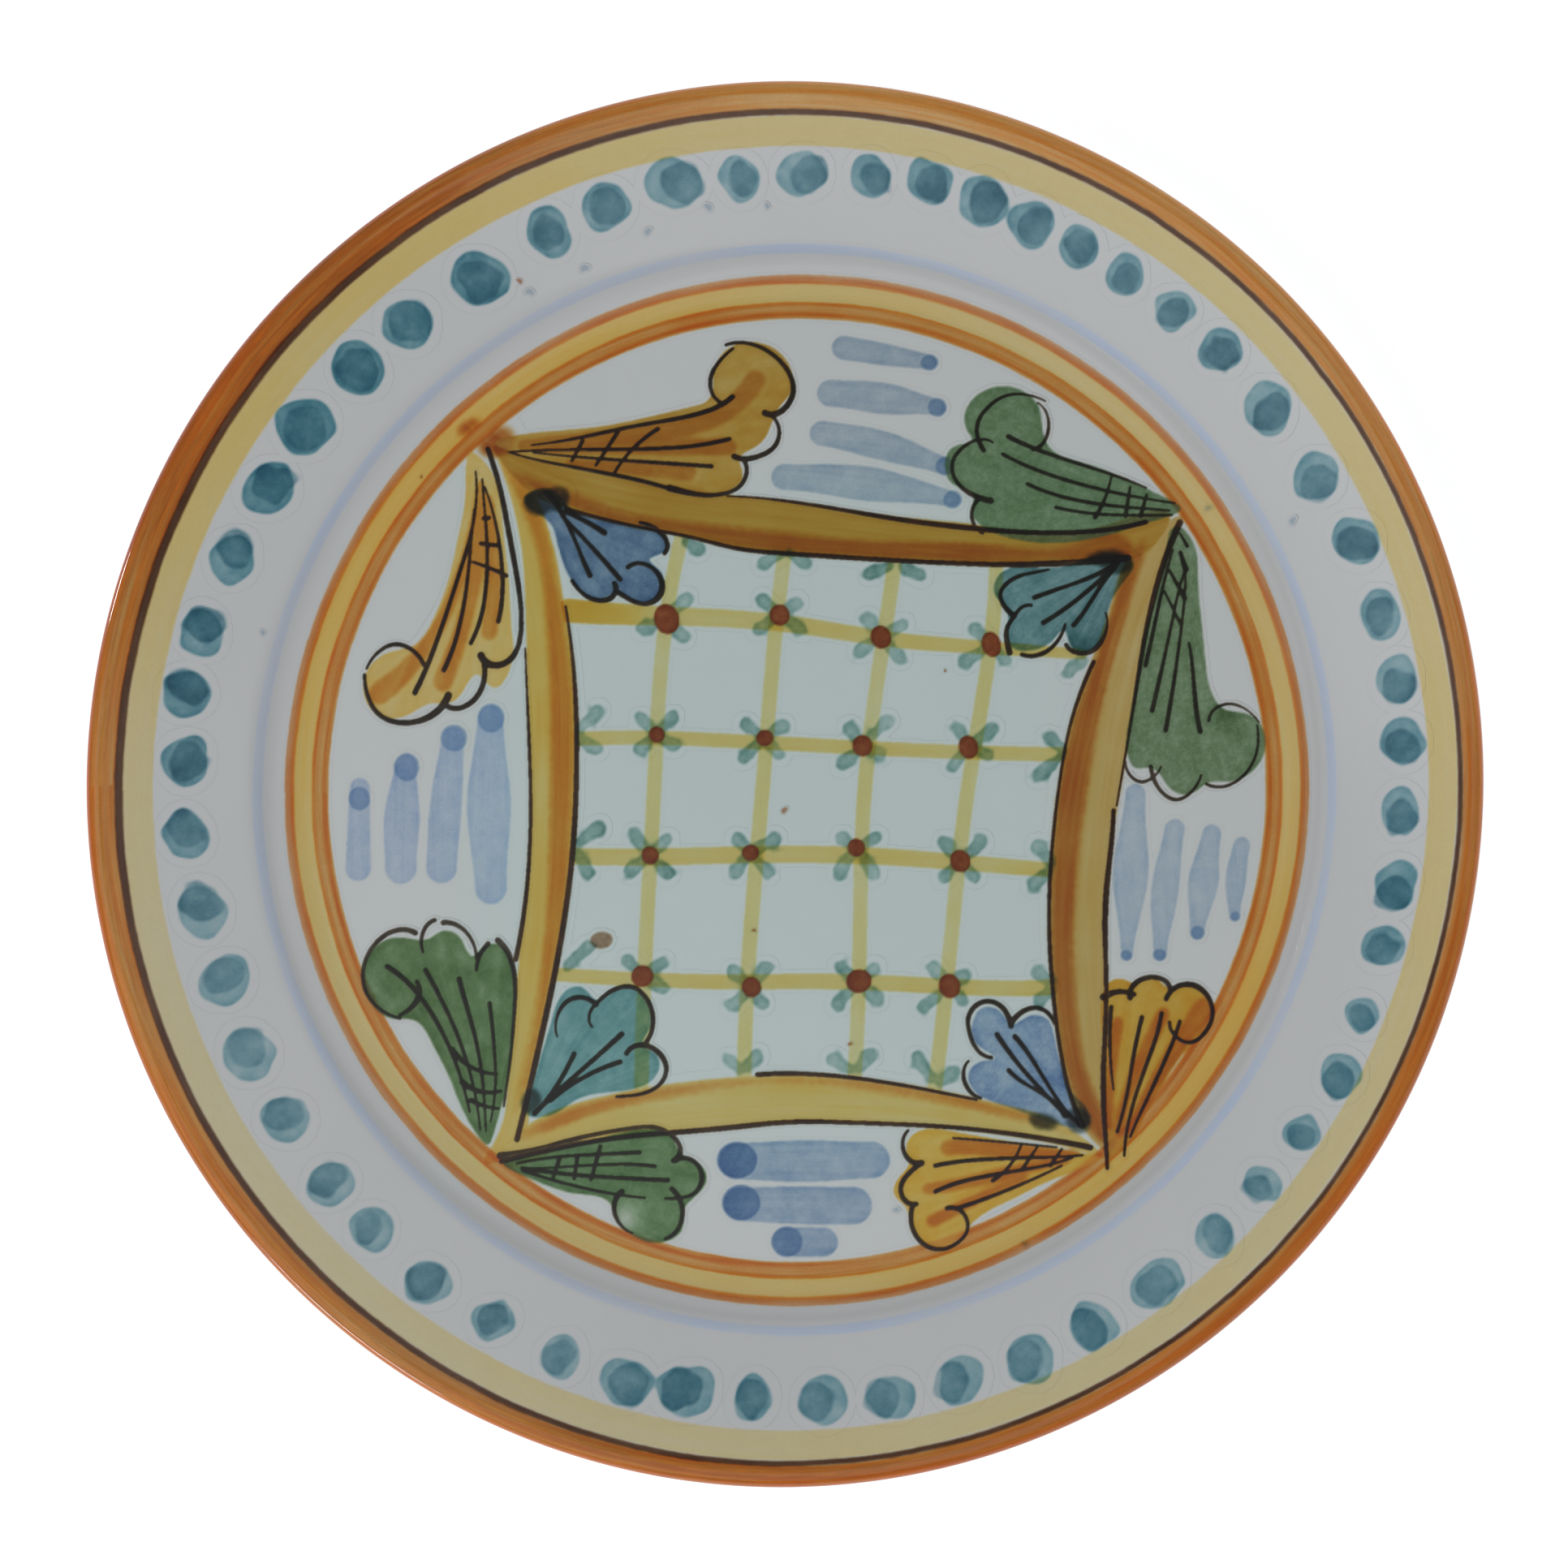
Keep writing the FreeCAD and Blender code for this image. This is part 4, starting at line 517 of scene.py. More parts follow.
def terracotta(name):
    mat, t = new_material(name)
    out = add(t, "ShaderNodeOutputMaterial")
    bsdf = add(t, "ShaderNodeBsdfPrincipled", in_Roughness=0.86)
    t.links.new(bsdf.outputs[0], out.inputs[0])
    place = add(t, "ShaderNodeTexCoord")
    body = add(t, "ShaderNodeTexNoise", in_Scale=260.0, in_Detail=6.0, in_Roughness=0.65)
    grog = add(t, "ShaderNodeTexVoronoi", in_Scale=900.0)
    for n in (body, grog):
        t.links.new(place.outputs["Object"], n.inputs["Vector"])
    ramp = add(t, "ShaderNodeValToRGB")
    ramp.color_ramp.elements[0].position = 0.3
    ramp.color_ramp.elements[0].color = (0.40, 0.17, 0.085, 1)
    ramp.color_ramp.elements[1].position = 0.75
    ramp.color_ramp.elements[1].color = (0.62, 0.32, 0.18, 1)
    t.links.new(body.outputs["Fac"], ramp.inputs[0])
    t.links.new(ramp.outputs[0], bsdf.inputs["Base Color"])
    sep = add(t, "ShaderNodeSeparateXYZ")
    t.links.new(place.outputs["Object"], sep.inputs[0])
    flat_len = add(t, "ShaderNodeVectorMath", operation="LENGTH")
    flat_mix = add(t, "ShaderNodeCombineXYZ")
    t.links.new(sep.outputs[0], flat_mix.inputs[0])
    t.links.new(sep.outputs[1], flat_mix.inputs[1])
    t.links.new(flat_mix.outputs[0], flat_len.inputs[0])
    rings = add(t, "ShaderNodeMath", operation="SINE")
    times = add(t, "ShaderNodeMath", operation="MULTIPLY", in_1=9000.0)
    t.links.new(flat_len.outputs["Value"], times.inputs[0])
    t.links.new(times.outputs[0], rings.inputs[0])
    level = add(t, "ShaderNodeMath", operation="MULTIPLY_ADD", in_1=0.25)
    t.links.new(rings.outputs[0], level.inputs[0])
    t.links.new(grog.outputs["Distance"], level.inputs[2])
    bump = add(t, "ShaderNodeBump", in_Strength=0.5, in_Distance=0.0001)
    t.links.new(level.outputs[0], bump.inputs["Height"])
    t.links.new(bump.outputs[0], bsdf.inputs["Normal"])
    return mat


MATERIALS = {
    "white_glaze": grained("white_glaze"),
    "manganese_ink": grained("manganese_ink", 0.35, 0.30, 0.20, 1.6, relief=0.8),
    "iron_red": grained("iron_red", 0.16, 0.4, 0.16, 1.5, relief=0.8),
    "brown_dab": grained("brown_dab", 0.06, 0.5, 0.10, 1.5),
    "teal": grained("teal", 0.13, 0.30, 0.07, 1.8),
    "dark_blue_black": grained("dark_blue_black", 0.15, 0.4, 0.12, 2.0),
    "cobalt_blue": grained("cobalt_blue", 0.14, 0.30, 0.06, 2.0),
    "pale_blue": grained("pale_blue", 0.02, 0.4, 0.03, 3.0),
    "green": grained("green", 0.18, 0.30, 0.08, 2.0),
    "ochre_yellow": grained("ochre_yellow", 0.07, 0.4, 0.06, 2.5),
    "orange": grained("orange", 0.12, 0.4, 0.07, 2.5),
    "rim_orange": grained("rim_orange", 0.12, 0.4, 0.07, 2.5, gloss=0.03, matt=0.0),
    "straw_yellow": grained("straw_yellow", 0.05, 0.5, 0.03, 3.0),
}
CLAY = terracotta("bisque")

# ---- body and glaze -------------------------------------------------------------------------
def arc_pts(centre, radius, a0, a1, size):
    """Points of an arc, angles from straight down towards +r."""
    n = max(3, int(abs(radius * (a1 - a0)) / size) + 1)
    a = np.linspace(a0, a1, n)
    return np.stack([centre[0] + radius * np.sin(a), centre[1] - radius * np.cos(a)], 1)


def run(a, b, size):
    n = max(2, int(math.dist(a, b) / size) + 1)
    k = np.linspace(0, 1, n)[:, None]
    return np.asarray(a)[None, :] * (1 - k) + np.asarray(b)[None, :] * k


def chain(*parts):
    pts = [parts[0]]
    for p in parts[1:]:
        pts.append(p[1:] if np.allclose(p[0], pts[-1][-1], atol=1e-4) else p)
    return np.concatenate(pts)


def lathe(name, path, material, replaced, n_round=720, moved=True):
    """Turns a section; the face moves with the sway of the hand thrown surface."""
    t = np.arange(n_round) * 2 * pi / n_round
    T, R = np.meshgrid(t, path[:, 0], indexing="ij")
    Z = np.broadcast_to(path[:, 1], R.shape)
    x, y = (R * np.cos(T)).ravel(), (R * np.sin(T)).ravel()
    z = Z.ravel() + (sway(x, y) * step(2.0, 6.0, Z.ravel()) if moved else 0.0)
    tone = glaze_tone(x, y)
    build(name, np.stack([x, y, z], 1), ring_quads(n_round, len(path))[:, ::-1], tone,
          np.zeros(len(x)), material, replaced)


under_c = CAVETTO_R + WALL
UNDER_Z = FLOOR_Z - WALL
corner_out = (FOOT_OUT_R + FOOT_FILLET, UNDER_Z - FOOT_FILLET)
corner_in = (FOOT_IN_R - FOOT_FILLET, FOOT_RECESS_Z - FOOT_FILLET)
OUTER = chain(
    run((0.02, FLOOR_Z), (FLOOR_R, FLOOR_Z), 1.6),
    arc_pts(C1, CAVETTO_R, 0, CAVETTO, 0.30),
    arc_pts(C2, -FLANGE_R, CAVETTO, FLANGE, 0.30),
    run(FLANGE_START, (LIP_TOP_R, LIP_TOP_Z), 0.8),
    arc_pts(LIP_C, LIP_R, pi + FLANGE, FLANGE, 0.18),
    run((LIP_C[0] + LIP_R * math.sin(FLANGE), LIP_C[1] - LIP_R * math.cos(FLANGE)),
        (C2[0] - (FLANGE_R - WALL) * math.sin(FLANGE),
         C2[1] + (FLANGE_R - WALL) * math.cos(FLANGE)), 1.5),
    arc_pts(C2, -(FLANGE_R - WALL), FLANGE, CAVETTO, 0.3),
    arc_pts(C1, under_c, CAVETTO, 0, 0.5),
    run((C1[0], UNDER_Z), (corner_out[0], UNDER_Z), 0.8),
    arc_pts(corner_out, FOOT_FILLET, pi, pi * 1.5, 0.2),
    run((FOOT_OUT_R, corner_out[1]), (FOOT_OUT_R, FOOT_BARE_Z + 0.15), 0.5),
    run((FOOT_OUT_R - 0.04, FOOT_BARE_Z + 0.04), (FOOT_OUT_R - GLAZE - 0.05, FOOT_BARE_Z), 0.1),
)
RECESS = chain(
    run((FOOT_IN_R + GLAZE + 0.05, FOOT_BARE_Z), (FOOT_IN_R + 0.04, FOOT_BARE_Z + 0.04), 0.1),
    run((FOOT_IN_R, FOOT_BARE_Z + 0.15), (FOOT_IN_R, corner_in[1]), 0.5),
    arc_pts(corner_in, FOOT_FILLET, pi * 0.5, pi, 0.2),
    run((corner_in[0], FOOT_RECESS_Z), (0.02, FOOT_RECESS_Z), 1.6),
)
lathe("glaze_face_and_back", OUTER, MATERIALS["white_glaze"], ["glaze_coat"])
lathe("glaze_in_foot_recess", RECESS, MATERIALS["white_glaze"], ["foot_recess_glaze"],
      moved=False)
nodes["bisque_body"].data.materials.clear()
nodes["bisque_body"].data.materials.append(CLAY)

# ---- the orange rim, which turns round the lip ----------------------------------------------
RIM = Wash((172, 112, 46), strength=1.0, lay=("turn",))
RIM_BROWN_AND_SHADE = np.array([-0.36, -0.36, -0.24])
RIM_EDGE = 130.2
RIM_END = LIP_TOP_R + LIP_R * (FLANGE + math.radians(142.0))
LOG_RIM = np.log(RIM.clear)[None, :]

# Thickness of the orange round the rim. Part of it is painted light and shade: thinner at the
# top, where the lip faces the light, and thicker at the upper left, which lies in shade.
rim_depth_and_painted_light = by_clock((0, 0.74), (45, 0.88), (90, 1.15), (135, 1.1), (180, 1.2), (225, 1.0),
                        (250, 0.95), (275, 1.0), (300, 1.42), (330, 1.38), (345, 1.05))
# Brown run into the orange, by clock: real streaks, laid heaviest at the upper left, where they
# also serve as painted shade over that side.
rim_brown_and_shade = by_clock((0, 0.0), (45, 0.12), (90, 0.45), (135, 0.5), (180, 0.9), (210, 0.7),
                     (240, 0.35), (270, 0.35), (300, 1.0), (330, 1.05), (348, 0.4))


def rim_log(depth, a, s, x, y):
    """What the orange, the brown run into it, and painted shade let through, as logs."""
    dark = cloud(a * 30.0, s / 0.16, 337) * 0.5 + cloud(a * 7.0, s / 0.5, 341) * 0.6
    # Painted shade: the orange is laid deeper and browner down the outer side of the lip on the
    # west, where that side lies in shade.
    west = step(40.0, 125.0, -x) * step(132.9, 134.6, s)
    # The brown carries painted shade as well as the streaks.
    brown = np.maximum(rim_brown_and_shade(x, y) * (1 + 0.9 * dark) + 0.20 * dark + 0.65 * west, 0.0)
    return LOG_RIM * (depth + 0.25 * west)[:, None] + RIM_BROWN_AND_SHADE[None, :] * brown[:, None]


def rim_wash(a, s, band_r, x, y):
    """Thickness and cover of the orange, by angle and by distance `s` over the lip; the
    thickness also carries painted light and shade.
    """
    lines = (cloud(a * 9.0, s / 0.42, 301) * 0.55 + cloud(a * 22.0, s / 0.20, 307) * 0.35
             + cloud(a * 3.2, s / 1.3, 311) * 0.5)
    depth = rim_depth_and_painted_light(x, y) + 0.42 * lines + 0.20 * cloud(a * 1.4, s * 0.0 + 2.0, 313)
    pale = np.exp(-((s - 131.9) / 0.55) ** 2) * (0.6 + 0.5 * cloud(a * 5, s * 0, 317))
    depth *= 1 - 0.15 * pale
    # Deeper down the outer side of the lip, where it turns down away from the light: painted
    # shade.
    depth += 0.12 * np.exp(-((s - 133.1) / 0.5) ** 2) + 0.25 * step(133.4, 135.2, s)
    wobble = 0.12 * cloud(a * 10.0, s * 0 + 5, 319) + 0.07 * cloud(a * 70.0, s * 0, 323)
    cover = step(-0.25, 0.35, band_r - RIM_EDGE + wobble + 0.05)
    cover = cover * (1 - step(RIM_END - 1.0, RIM_END - 0.1, s + 0.35 * cloud(a * 8, s * 0, 331)))
    return np.maximum(depth, 0.1), cover


def rim_s(r):
    """Distance over the flange and lip for a place on top of the rim."""
    over = LIP_R * (np.arcsin(np.clip((r - LIP_C[0]) / LIP_R, -1, 1)) + FLANGE)
    return np.where(r < LIP_TOP_R, r, LIP_TOP_R + over)


where = np.flatnonzero((RAD > RIM_EDGE - 1.0) & (np.hypot(FX, FY) < RIM_R))
x, y = FX[where].astype(float), FY[where].astype(float)
ang, s = np.arctan2(y, x), rim_s(np.hypot(x, y))
depth, cover = rim_wash(ang, s, RAD[where], x, y)
sheet[where] *= np.exp(rim_log(depth, ang, s, x, y) * cover[:, None])

n_round = 1800
ss = np.arange(RIM_EDGE - 2.2, RIM_END + 0.01, 0.2)
T, S = np.meshgrid(np.arange(n_round) * 2 * pi / n_round, ss, indexing="ij")
T, S = T.ravel(), S.ravel()
over_lip = (S - LIP_TOP_R) / LIP_R - FLANGE       # 0 at the top of the lip
on_lip = S > LIP_TOP_R
r = np.where(on_lip, LIP_C[0] + LIP_R * np.sin(over_lip), S)
z = np.where(on_lip, LIP_C[1] + LIP_R * np.cos(over_lip), height(np.minimum(S, LIP_TOP_R)))
nr = np.where(on_lip, np.sin(over_lip), -math.sin(FLANGE))
nz = np.where(on_lip, np.cos(over_lip), math.cos(FLANGE))
lift = lift_of(0)
x, y = (r + nr * lift) * np.cos(T), (r + nr * lift) * np.sin(T)
z = z + nz * lift + sway(x, y)
band_r = np.where(on_lip, 200.0, np.hypot(x - BAND_CX, y - BAND_CY))
ang = np.where(T > pi, T - 2 * pi, T)
depth, cover = rim_wash(ang, S, band_r, x, y)
tone = glaze_tone(x, y) * np.exp(rim_log(depth, ang, S, x, y) * cover[:, None])
quads = ring_quads(n_round, len(ss))
build("rim_orange_band_brushed", np.stack([x, y, z], 1), quads, tone, cover,
      MATERIALS["rim_orange"], ["rim_orange_band"])

# ---- bands ----------------------------------------------------------------------------------
band("rim_dark_line", Wash((66, 42, 26), strength=0.95, lay=("turn",), streak=0.12,
                           streak_size=(8.0, 0.5), mottle=0.16, mottle_size=6.0),
     1, 41, MATERIALS["manganese_ink"],
     widen=by_clock((0, 0.12), (60, 0.05), (120, 0.0), (180, 0.05), (225, 0.15), (270, 0.30),
                    (300, 0.34), (330, 0.22)))
rim_yellow = by_clock((0, 1.1), (30, 1.05), (60, 1.05), (90, 1.2), (120, 0.9), (150, 0.85),
                      (180, 0.85), (210, 0.75), (240, 0.65), (270, 0.85), (300, 1.45),
                      (330, 1.35))
band("rim_yellow_band", Wash((174, 163, 119), lay=("turn",), streak=0.13,
                             streak_size=(40.0, 1.1), mottle=0.10, mottle_size=14.0,
                             thick=rim_yellow),
     2, 43, MATERIALS["straw_yellow"])
well_yellow = by_clock((0, 1.1), (30, 0.95), (60, 1.1), (90, 1.2), (120, 1.7), (150, 1.45),
                       (180, 1.1), (210, 0.95), (240, 0.9), (270, 1.25), (300, 1.75), (330, 1.6))
band("flange_blue_line", Wash((160, 171, 185), lay=("turn",), streak=0.2,
                              streak_size=(30.0, 0.8), mottle=0.45, mottle_size=16.0),
     3, 47, MATERIALS["pale_blue"])
band("well_ring_yellow", Wash((175, 157, 103), lay=("turn",), streak=0.20,
                              streak_size=(30.0, 0.9), mottle=0.10, mottle_size=14.0,
                              thick=well_yellow),
     4, 53, MATERIALS["straw_yellow"])

# ---- marks in the order they were brushed ---------------------------------------------------
MARKS = []                  # (node, wash, slot)


def mark(node, slot, seen, **how):
    MARKS.append((node, Wash(seen, **how), slot))


# the brush ran dry and was charged again on its way round
dot_strength = by_clock((0, 0.8), (14, 1.25), (24, 1.15), (40, 0.95), (60, 1.05), (90, 1.0),
                        (130, 0.8), (160, 0.8), (185, 0.85), (215, 0.9), (245, 0.7),
                        (262, 0.8), (272, 1.2), (300, 1.1), (340, 0.95))
first_share = by_clock((0, 1.0), (60, 1.0), (150, 1.0), (285, 1.1), (305, 1.5), (335, 1.4))
second_share = by_clock((0, 1.0), (60, 1.0), (150, 1.0), (285, 1.0), (305, 0.8), (335, 0.8))

LATTICE = dict(over=POOLED_WHITE, streak_size=(14, 0.9), mottle=0.2, mottle_size=8.0)
mark("lattice_verticals", "straw_yellow", (163, 164, 116), lay=("line", 90), streak=0.12,
     **LATTICE)

mark("dashes_west", "cobalt_blue", (140, 155, 174), over=(177, 181, 182), lay=("line", 90),
     streak=0.25, streak_size=(16, 0.7), mottle=0.25, grain=0.16, pool=0.25)
for side, seen, lean, streak, mottle, pool in (
        ("north", (128, 143, 155), -6, 0.2, 0.25, 0.25),
        ("east", (136, 151, 164), 95, 0.2, 0.25, 0.35),
        ("south", (116, 136, 156), 0, 0.25, 0.3, 0.15)):
    mark("dashes_" + side, "cobalt_blue", seen, lay=("line", lean), streak=streak,
         streak_size=(14, 0.7), mottle=mottle, grain=0.16, pool=pool)

for side, run_of, seen, streak, mottle in (
        ("north", "x", (142, 109, 38), 0.22, 0.15), ("east", "y", (155, 132, 76), 0.20, 0.15),
        ("south", "x", (168, 148, 85), 0.22, 0.2), ("west", "y", (169, 143, 72), 0.22, 0.2)):
    mark("frame_yellow_" + side, "straw_yellow", seen, lay=("bow", run_of), streak=streak,
         streak_size=(26.0, 1.5), mottle=mottle, mottle_size=12.0)

MARKS += [("well_ring_outer_line", None, "orange"), ("well_ring_inner_line", None, "orange")]

for side, run_of, seen, streak, fine, spots in (
        ("north", "x", (149, 106, 56), 0.36, 0.9, [(-59, 68, 4.5, 0.9)]),
        ("east", "y", (148, 104, 58), 0.38, 0.8, ()),
        ("south", "x", (160, 119, 74), 0.30, 0.9, ()),
        ("west", "y", (158, 121, 60), 0.34, 0.8, ())):
    mark("frame_orange_" + side, "orange", seen, lay=("bow", run_of), streak=streak,
         streak_size=(22.0, fine), mottle=0.2, mottle_size=9.0, soft=9, spots=spots)

mark("flange_dots_first_dab", "teal", (98, 134, 143), mottle=0.34, mottle_size=2.8,
     pool=0.34, pool_reach=6, grain=0.16, soft=6, crisp=0.15, ragged=0.55, rag_size=3.0,
     each=0.35, thick=lambda x, y: dot_strength(x, y) * first_share(x, y))
mark("lattice_horizontals", "straw_yellow", (162, 155, 94), lay=("line", 0), streak=0.14,
     spots=[(-42, 34, 5, 1.1), (-34, 33.6, 6, 0.5)], **LATTICE)
mark("dash_end_dots", "cobalt_blue", (119, 138, 156), grain=0.15, mottle=0.2, pool=0.3,
     pool_reach=5, spots=[(-14, -71, 9, 0.75), (-13, -79, 8, 0.6)])
mark("flange_dots_second_dab", "teal", (104, 132, 141), mottle=0.42, mottle_size=2.6,
     pool=0.26, pool_reach=6, grain=0.18, soft=6, crisp=0.20, ragged=0.75, rag_size=2.6,
     each=0.6, thick=lambda x, y: dot_strength(x, y) * second_share(x, y))
mark("floret_petals", "teal", (108, 140, 137), over=POOLED_WHITE, mottle=0.42,
     mottle_size=1.7, pool=0.3, pool_reach=5, grain=0.2, each=0.55, soft=5, thin=-0.17,
     crisp=0.22, ragged=0.4, rag_size=1.4)

for place, tip, seen in (
        ("nw_top", (-58, 66), (147, 118, 47)), ("nw_left", (-57, 62), (171, 150, 86)),
        ("se_right", (61, -70), (159, 125, 40)), ("se_bottom", (60, -70), (168, 137, 50))):
    mark("plume_yellow_" + place, "ochre_yellow", seen, hides=0.5, lay=("tip",) + tip,
         streak=0.22, streak_size=(16, 1.6), mottle=0.18, pool=0.12)
for place, tip, seen, mottle, grain, pool, spots in (
        ("ne_top", (74, 52), (80, 105, 76), 0.16, 0.22, 0.1, ()),
        ("ne_right", (74, 50), (86, 108, 80), 0.16, 0.25, 0.1, [(84.5, 13, 3, 0.5)]),
        ("sw_left", (-59, -69), (71, 98, 60), 0.26, 0.12, 0.2, ()),
        ("sw_bottom", (-57, -71), (68, 98, 60), 0.22, 0.14, 0.2, [(-32, -84, 3.6, -0.75)])):
    mark("plume_green_" + place, "green", seen, hides=0.35, lay=("tip",) + tip, streak=0.16,
         streak_size=(16, 1.3), mottle=mottle, grain=grain, pool=pool, spots=spots)
for place, slot, tip, seen, mottle, grain, pool, spots in (
        ("blue_nw", "cobalt_blue", (-52, 58), (72, 95, 120), 0.25, 0.16, 0.3, ()),
        ("blue_se", "cobalt_blue", (57, -62), (99, 120, 146), 0.35, 0.3, 0.4,
         [(51.5, -57, 3, 0.6)]),
        ("teal_ne", "teal", (66, 46), (76, 108, 112), 0.22, 0.18, 0.2,
         [(57, 27.5, 3.4, 0.7)]),
        ("teal_sw", "teal", (-50, -62), (80, 119, 122), 0.28, 0.10, 0.25, ())):
    mark("palmette_" + place, slot, seen, lay=("tip",) + tip, streak=0.2,
         streak_size=(14, 1.4), mottle=mottle, grain=grain, pool=pool, spots=spots)

mark("floret_centres", "iron_red", (98, 44, 14), mottle=0.2, mottle_size=1.2, pool=0.25,
     pool_reach=4, hides=0.85)
mark("stray_dab", "brown_dab", (116, 95, 76), mottle=0.3, mottle_size=1.2)
for place, tip, seen in (
        ("nw_top", (-58, 66), (154, 102, 30)), ("nw_left", (-57, 62), (157, 100, 26)),
        ("se_right", (61, -70), (155, 92, 20)), ("se_bottom", (60, -70), (154, 92, 20))):
    mark("plume_shading_" + place, "orange", seen, over=OVER_OCHRE, lay=("tip",) + tip,
         streak=0.3, streak_size=(14, 0.9), mottle=0.2, soft=5)
mark("palmette_dark_tips", "dark_blue_black", (62, 72, 70), mottle=0.25, mottle_size=1.6,
     soft=6)

mark("frame_ink", "manganese_ink", (40, 26, 14), mottle=0.22, mottle_size=5.0, soft=1,
     cell=2, thin=0.08, streak=0.15, streak_size=(1.3, 1.3))
for drawing, strength in (
        ("palmette_ink_nw", 1.0), ("palmette_ink_se", 1.0), ("palmette_ink_ne", 1.0),
        ("palmette_ink_sw", 1.0), ("plume_ink_nw_top", 1.0), ("plume_ink_nw_left", 1.0),
        ("plume_ink_se_right", 1.0), ("plume_ink_se_bottom", 1.0),
        ("plume_ink_ne_top", 0.82), ("plume_ink_ne_right", 0.82),
        ("plume_ink_sw_left", 0.82), ("plume_ink_sw_bottom", 0.82)):
    mark(drawing, "manganese_ink", (30, 23, 15), strength=strength, mottle=0.20,
         mottle_size=4.0, soft=1, cell=2, thin=0.12, streak=0.15, streak_size=(1.2, 1.2))


def inner_line(x, y):
    """Dark where the two edges of the brush ran."""
    r = np.hypot(x - BAND_CX, y - BAND_CY) + 0.15 * cloud(x / 20.0, y / 20.0, 71)
    dark = 0.55 * np.exp(-((r - 92.1) / 0.5) ** 2) + 0.25 * np.exp(-((r - 94.1) / 0.5) ** 2)
    return 0.80 + dark


def outer_line(x, y):
    """Darker along its outer edge."""
    r = np.hypot(x - BAND_CX, y - BAND_CY)
    return 0.75 + 0.35 * np.exp(-((r - 98.8) / 0.45) ** 2)


LINE_WASH = {
    "well_ring_outer_line": Wash((160, 106, 60), lay=("turn",), streak=0.30,
                                 streak_size=(14.0, 0.4), mottle=0.18, mottle_size=9.0,
                                 thick=outer_line),
    "well_ring_inner_line": Wash((161, 106, 44), lay=("turn",), streak=0.40,
                                 streak_size=(18.0, 0.45), mottle=0.2, mottle_size=9.0,
                                 thick=inner_line),
}
for k, (node, wash, slot) in enumerate(MARKS):
    order, seed = k + 5, 101 + 17 * k
    if wash is None:
        band(node, LINE_WASH[node], order, seed, MATERIALS[slot])
        continue
    where = brush(node, wash, seed)
    skin(node, where, wash, order, MATERIALS[slot])
    load[where] = 0.0

# ---- stray specks: kiln dust and droplets off the brush ------------------------------------
DROPS = ((108, 126, 140), 0.5, [(-26.4, 107.0, 0.75), (-38.9, 100.2, 0.85), (-49.6, 95.7, 0.8),
                                (-14.4, 111.5, 0.8), (-3.0, 111.6, 0.6), (20.7, 114.3, 0.7),
                                (98.3, 49.8, 0.8), (81.5, 53.0, 0.7), (21.0, -82.0, 0.6),
                                (46.0, -88.5, 0.7), (-102.0, 30.0, 0.5)])
DUST = ((120, 82, 62), 0.7, [(-0.8, -4.8, 0.65), (12.0, -50.0, 0.45), (-6.7, -28.0, 0.4),
                             (-51.4, 97.7, 0.55), (30.5, 22.0, 0.3), (-72.0, 60.5, 0.3)])


def specks(order):
    verts, quads, tones = [], [], []
    for seen, strength, places in (DROPS, DUST):
        clear = np.log(through(seen))
        for k, (px, py, radius) in enumerate(places):
            rounds, rings = 20, 5
            base = len(verts)
            for i in range(rounds):
                a = i * 2 * pi / rounds
                for j in range(rings):
                    f = j / (rings - 1.0)
                    wob = 1 + 0.22 * math.sin(2 * a + k) + 0.12 * math.sin(3 * a + 2 * k)
                    rr = 0.02 + radius * 1.25 * f * wob
                    x, y = px + rr * math.cos(a), py + rr * math.sin(a)
                    under = sample(np.array([x]), np.array([y]))[0]
                    verts.append((x, y, float(height(math.hypot(x, y))
                                              + sway(np.array([x]), np.array([y]))[0])
                                  + lift_of(order)))
                    thick = strength * float(1 - step(0.35, 1.0, f))
                    tones.append(under * np.exp(clear * thick))
            q = ring_quads(rounds, rings) + base
            quads.append(q)
    build("stray_specks", verts, np.concatenate(quads), np.array(tones), np.zeros(len(verts)),
          MATERIALS["pale_blue"], [])


specks(5 + len(MARKS))

# ---- floor, light and camera ----------------------------------------------------------------
floor_me = bpy.data.meshes.new("studio_floor")
n, row, wide = 24, 25, 6.0
grid = [((i / n - 0.5) * wide, (j / n - 0.5) * wide, -0.0002) for j in range(row)
        for i in range(row)]
faces = [(j * row + i, j * row + i + 1, (j + 1) * row + i + 1, (j + 1) * row + i)
         for j in range(n) for i in range(n)]
floor_me.from_pydata(grid, [], faces)
floor = bpy.data.objects.new("studio_floor", floor_me)
bpy.context.scene.collection.objects.link(floor)
floor_mat, t = new_material("studio_floor")
out = add(t, "ShaderNodeOutputMaterial")
paper = add(t, "ShaderNodeBsdfPrincipled", in_Roughness=0.9)
paper.inputs["Base Color"].default_value = (0.90, 0.90, 0.90, 1)
paper.inputs["Specular IOR Level"].default_value = 0.0
paper.inputs["Emission Color"].default_value = (1, 1, 1, 1)
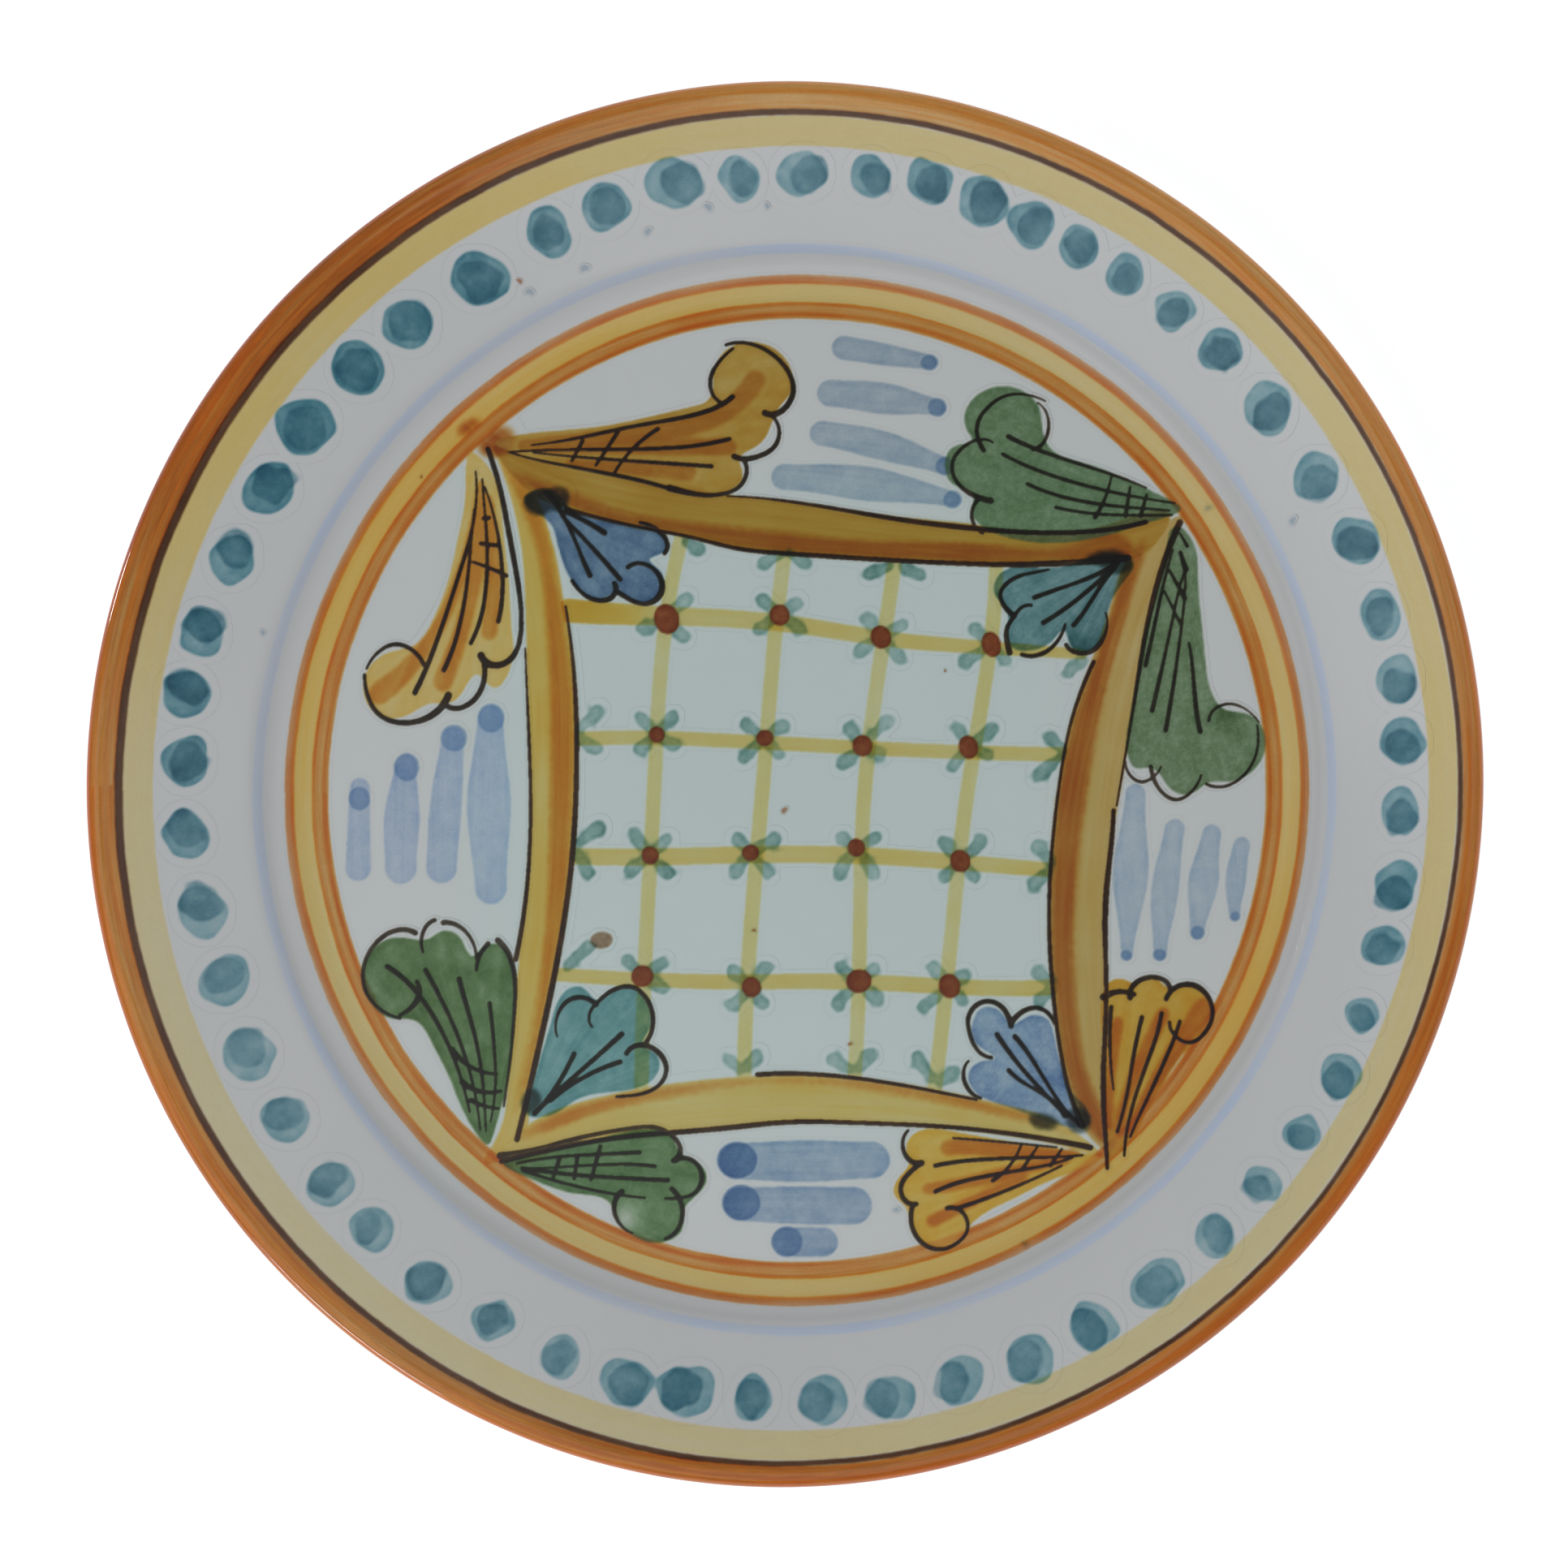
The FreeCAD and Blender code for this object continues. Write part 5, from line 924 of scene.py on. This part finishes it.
paper.inputs["Emission Strength"].default_value = 0.50
t.links.new(paper.outputs[0], out.inputs[0])
floor_me.materials.append(floor_mat)

world = bpy.data.worlds.new("soft_room")
bpy.context.scene.world = world
world.use_nodes = True
world.node_tree.nodes["Background"].inputs["Color"].default_value = (0.97, 0.98, 1.0, 1)
world.node_tree.nodes["Background"].inputs["Strength"].default_value = 0.34


def softbox(name, clock_deg, elevation_deg, size, power, distance=1.6, tall=None):
    """A soft lamp that faces the plate; sizes and distance in metres, power in watts."""
    data = bpy.data.lights.new(name, "AREA")
    data.shape = "ELLIPSE"
    data.size, data.size_y = size, tall or size
    data.energy = power
    lamp = bpy.data.objects.new(name, data)
    bpy.context.scene.collection.objects.link(lamp)
    c, e = math.radians(clock_deg), math.radians(elevation_deg)
    way = Vector((math.sin(c) * math.cos(e), math.cos(c) * math.cos(e), math.sin(e)))
    lamp.location = way * distance
    lamp.rotation_euler = (-way).to_track_quat("-Z", "Y").to_euler()


softbox("soft_key", 222, 50, 1.5, 4.9, 1.05)
softbox("soft_fill", 52, 46, 1.8, 4.9)
softbox("low_window", 225, 2.3, 0.42, 2.8, 1.2, tall=0.095)
softbox("low_lamp", 287, 2.3, 0.12, 1.6, 1.2, tall=0.095)

LENS = 214.8
AWAY = 1.8
TILT, SWING = math.radians(7.6), math.radians(-20.0)
target = Vector((0.3238 * MM, -0.1507 * MM, 20.0 * MM))
way = Vector((math.sin(TILT) * math.cos(SWING), math.sin(TILT) * math.sin(SWING),
              math.cos(TILT)))
cam_data = bpy.data.cameras.new("camera")
cam_data.lens = LENS
cam_data.sensor_width = 36.0
cam_data.clip_start, cam_data.clip_end = 0.05, 20.0
cam = bpy.data.objects.new("camera", cam_data)
bpy.context.scene.collection.objects.link(cam)
right = (-way).cross(Vector((0, 1, 0))).normalized()
up = right.cross(-way)
cam.matrix_world = Matrix.Translation(target + way * AWAY) @ Matrix(
    (right, up, way)).transposed().to_4x4()
bpy.context.scene.camera = cam
bpy.context.scene.view_settings.view_transform = "Standard"
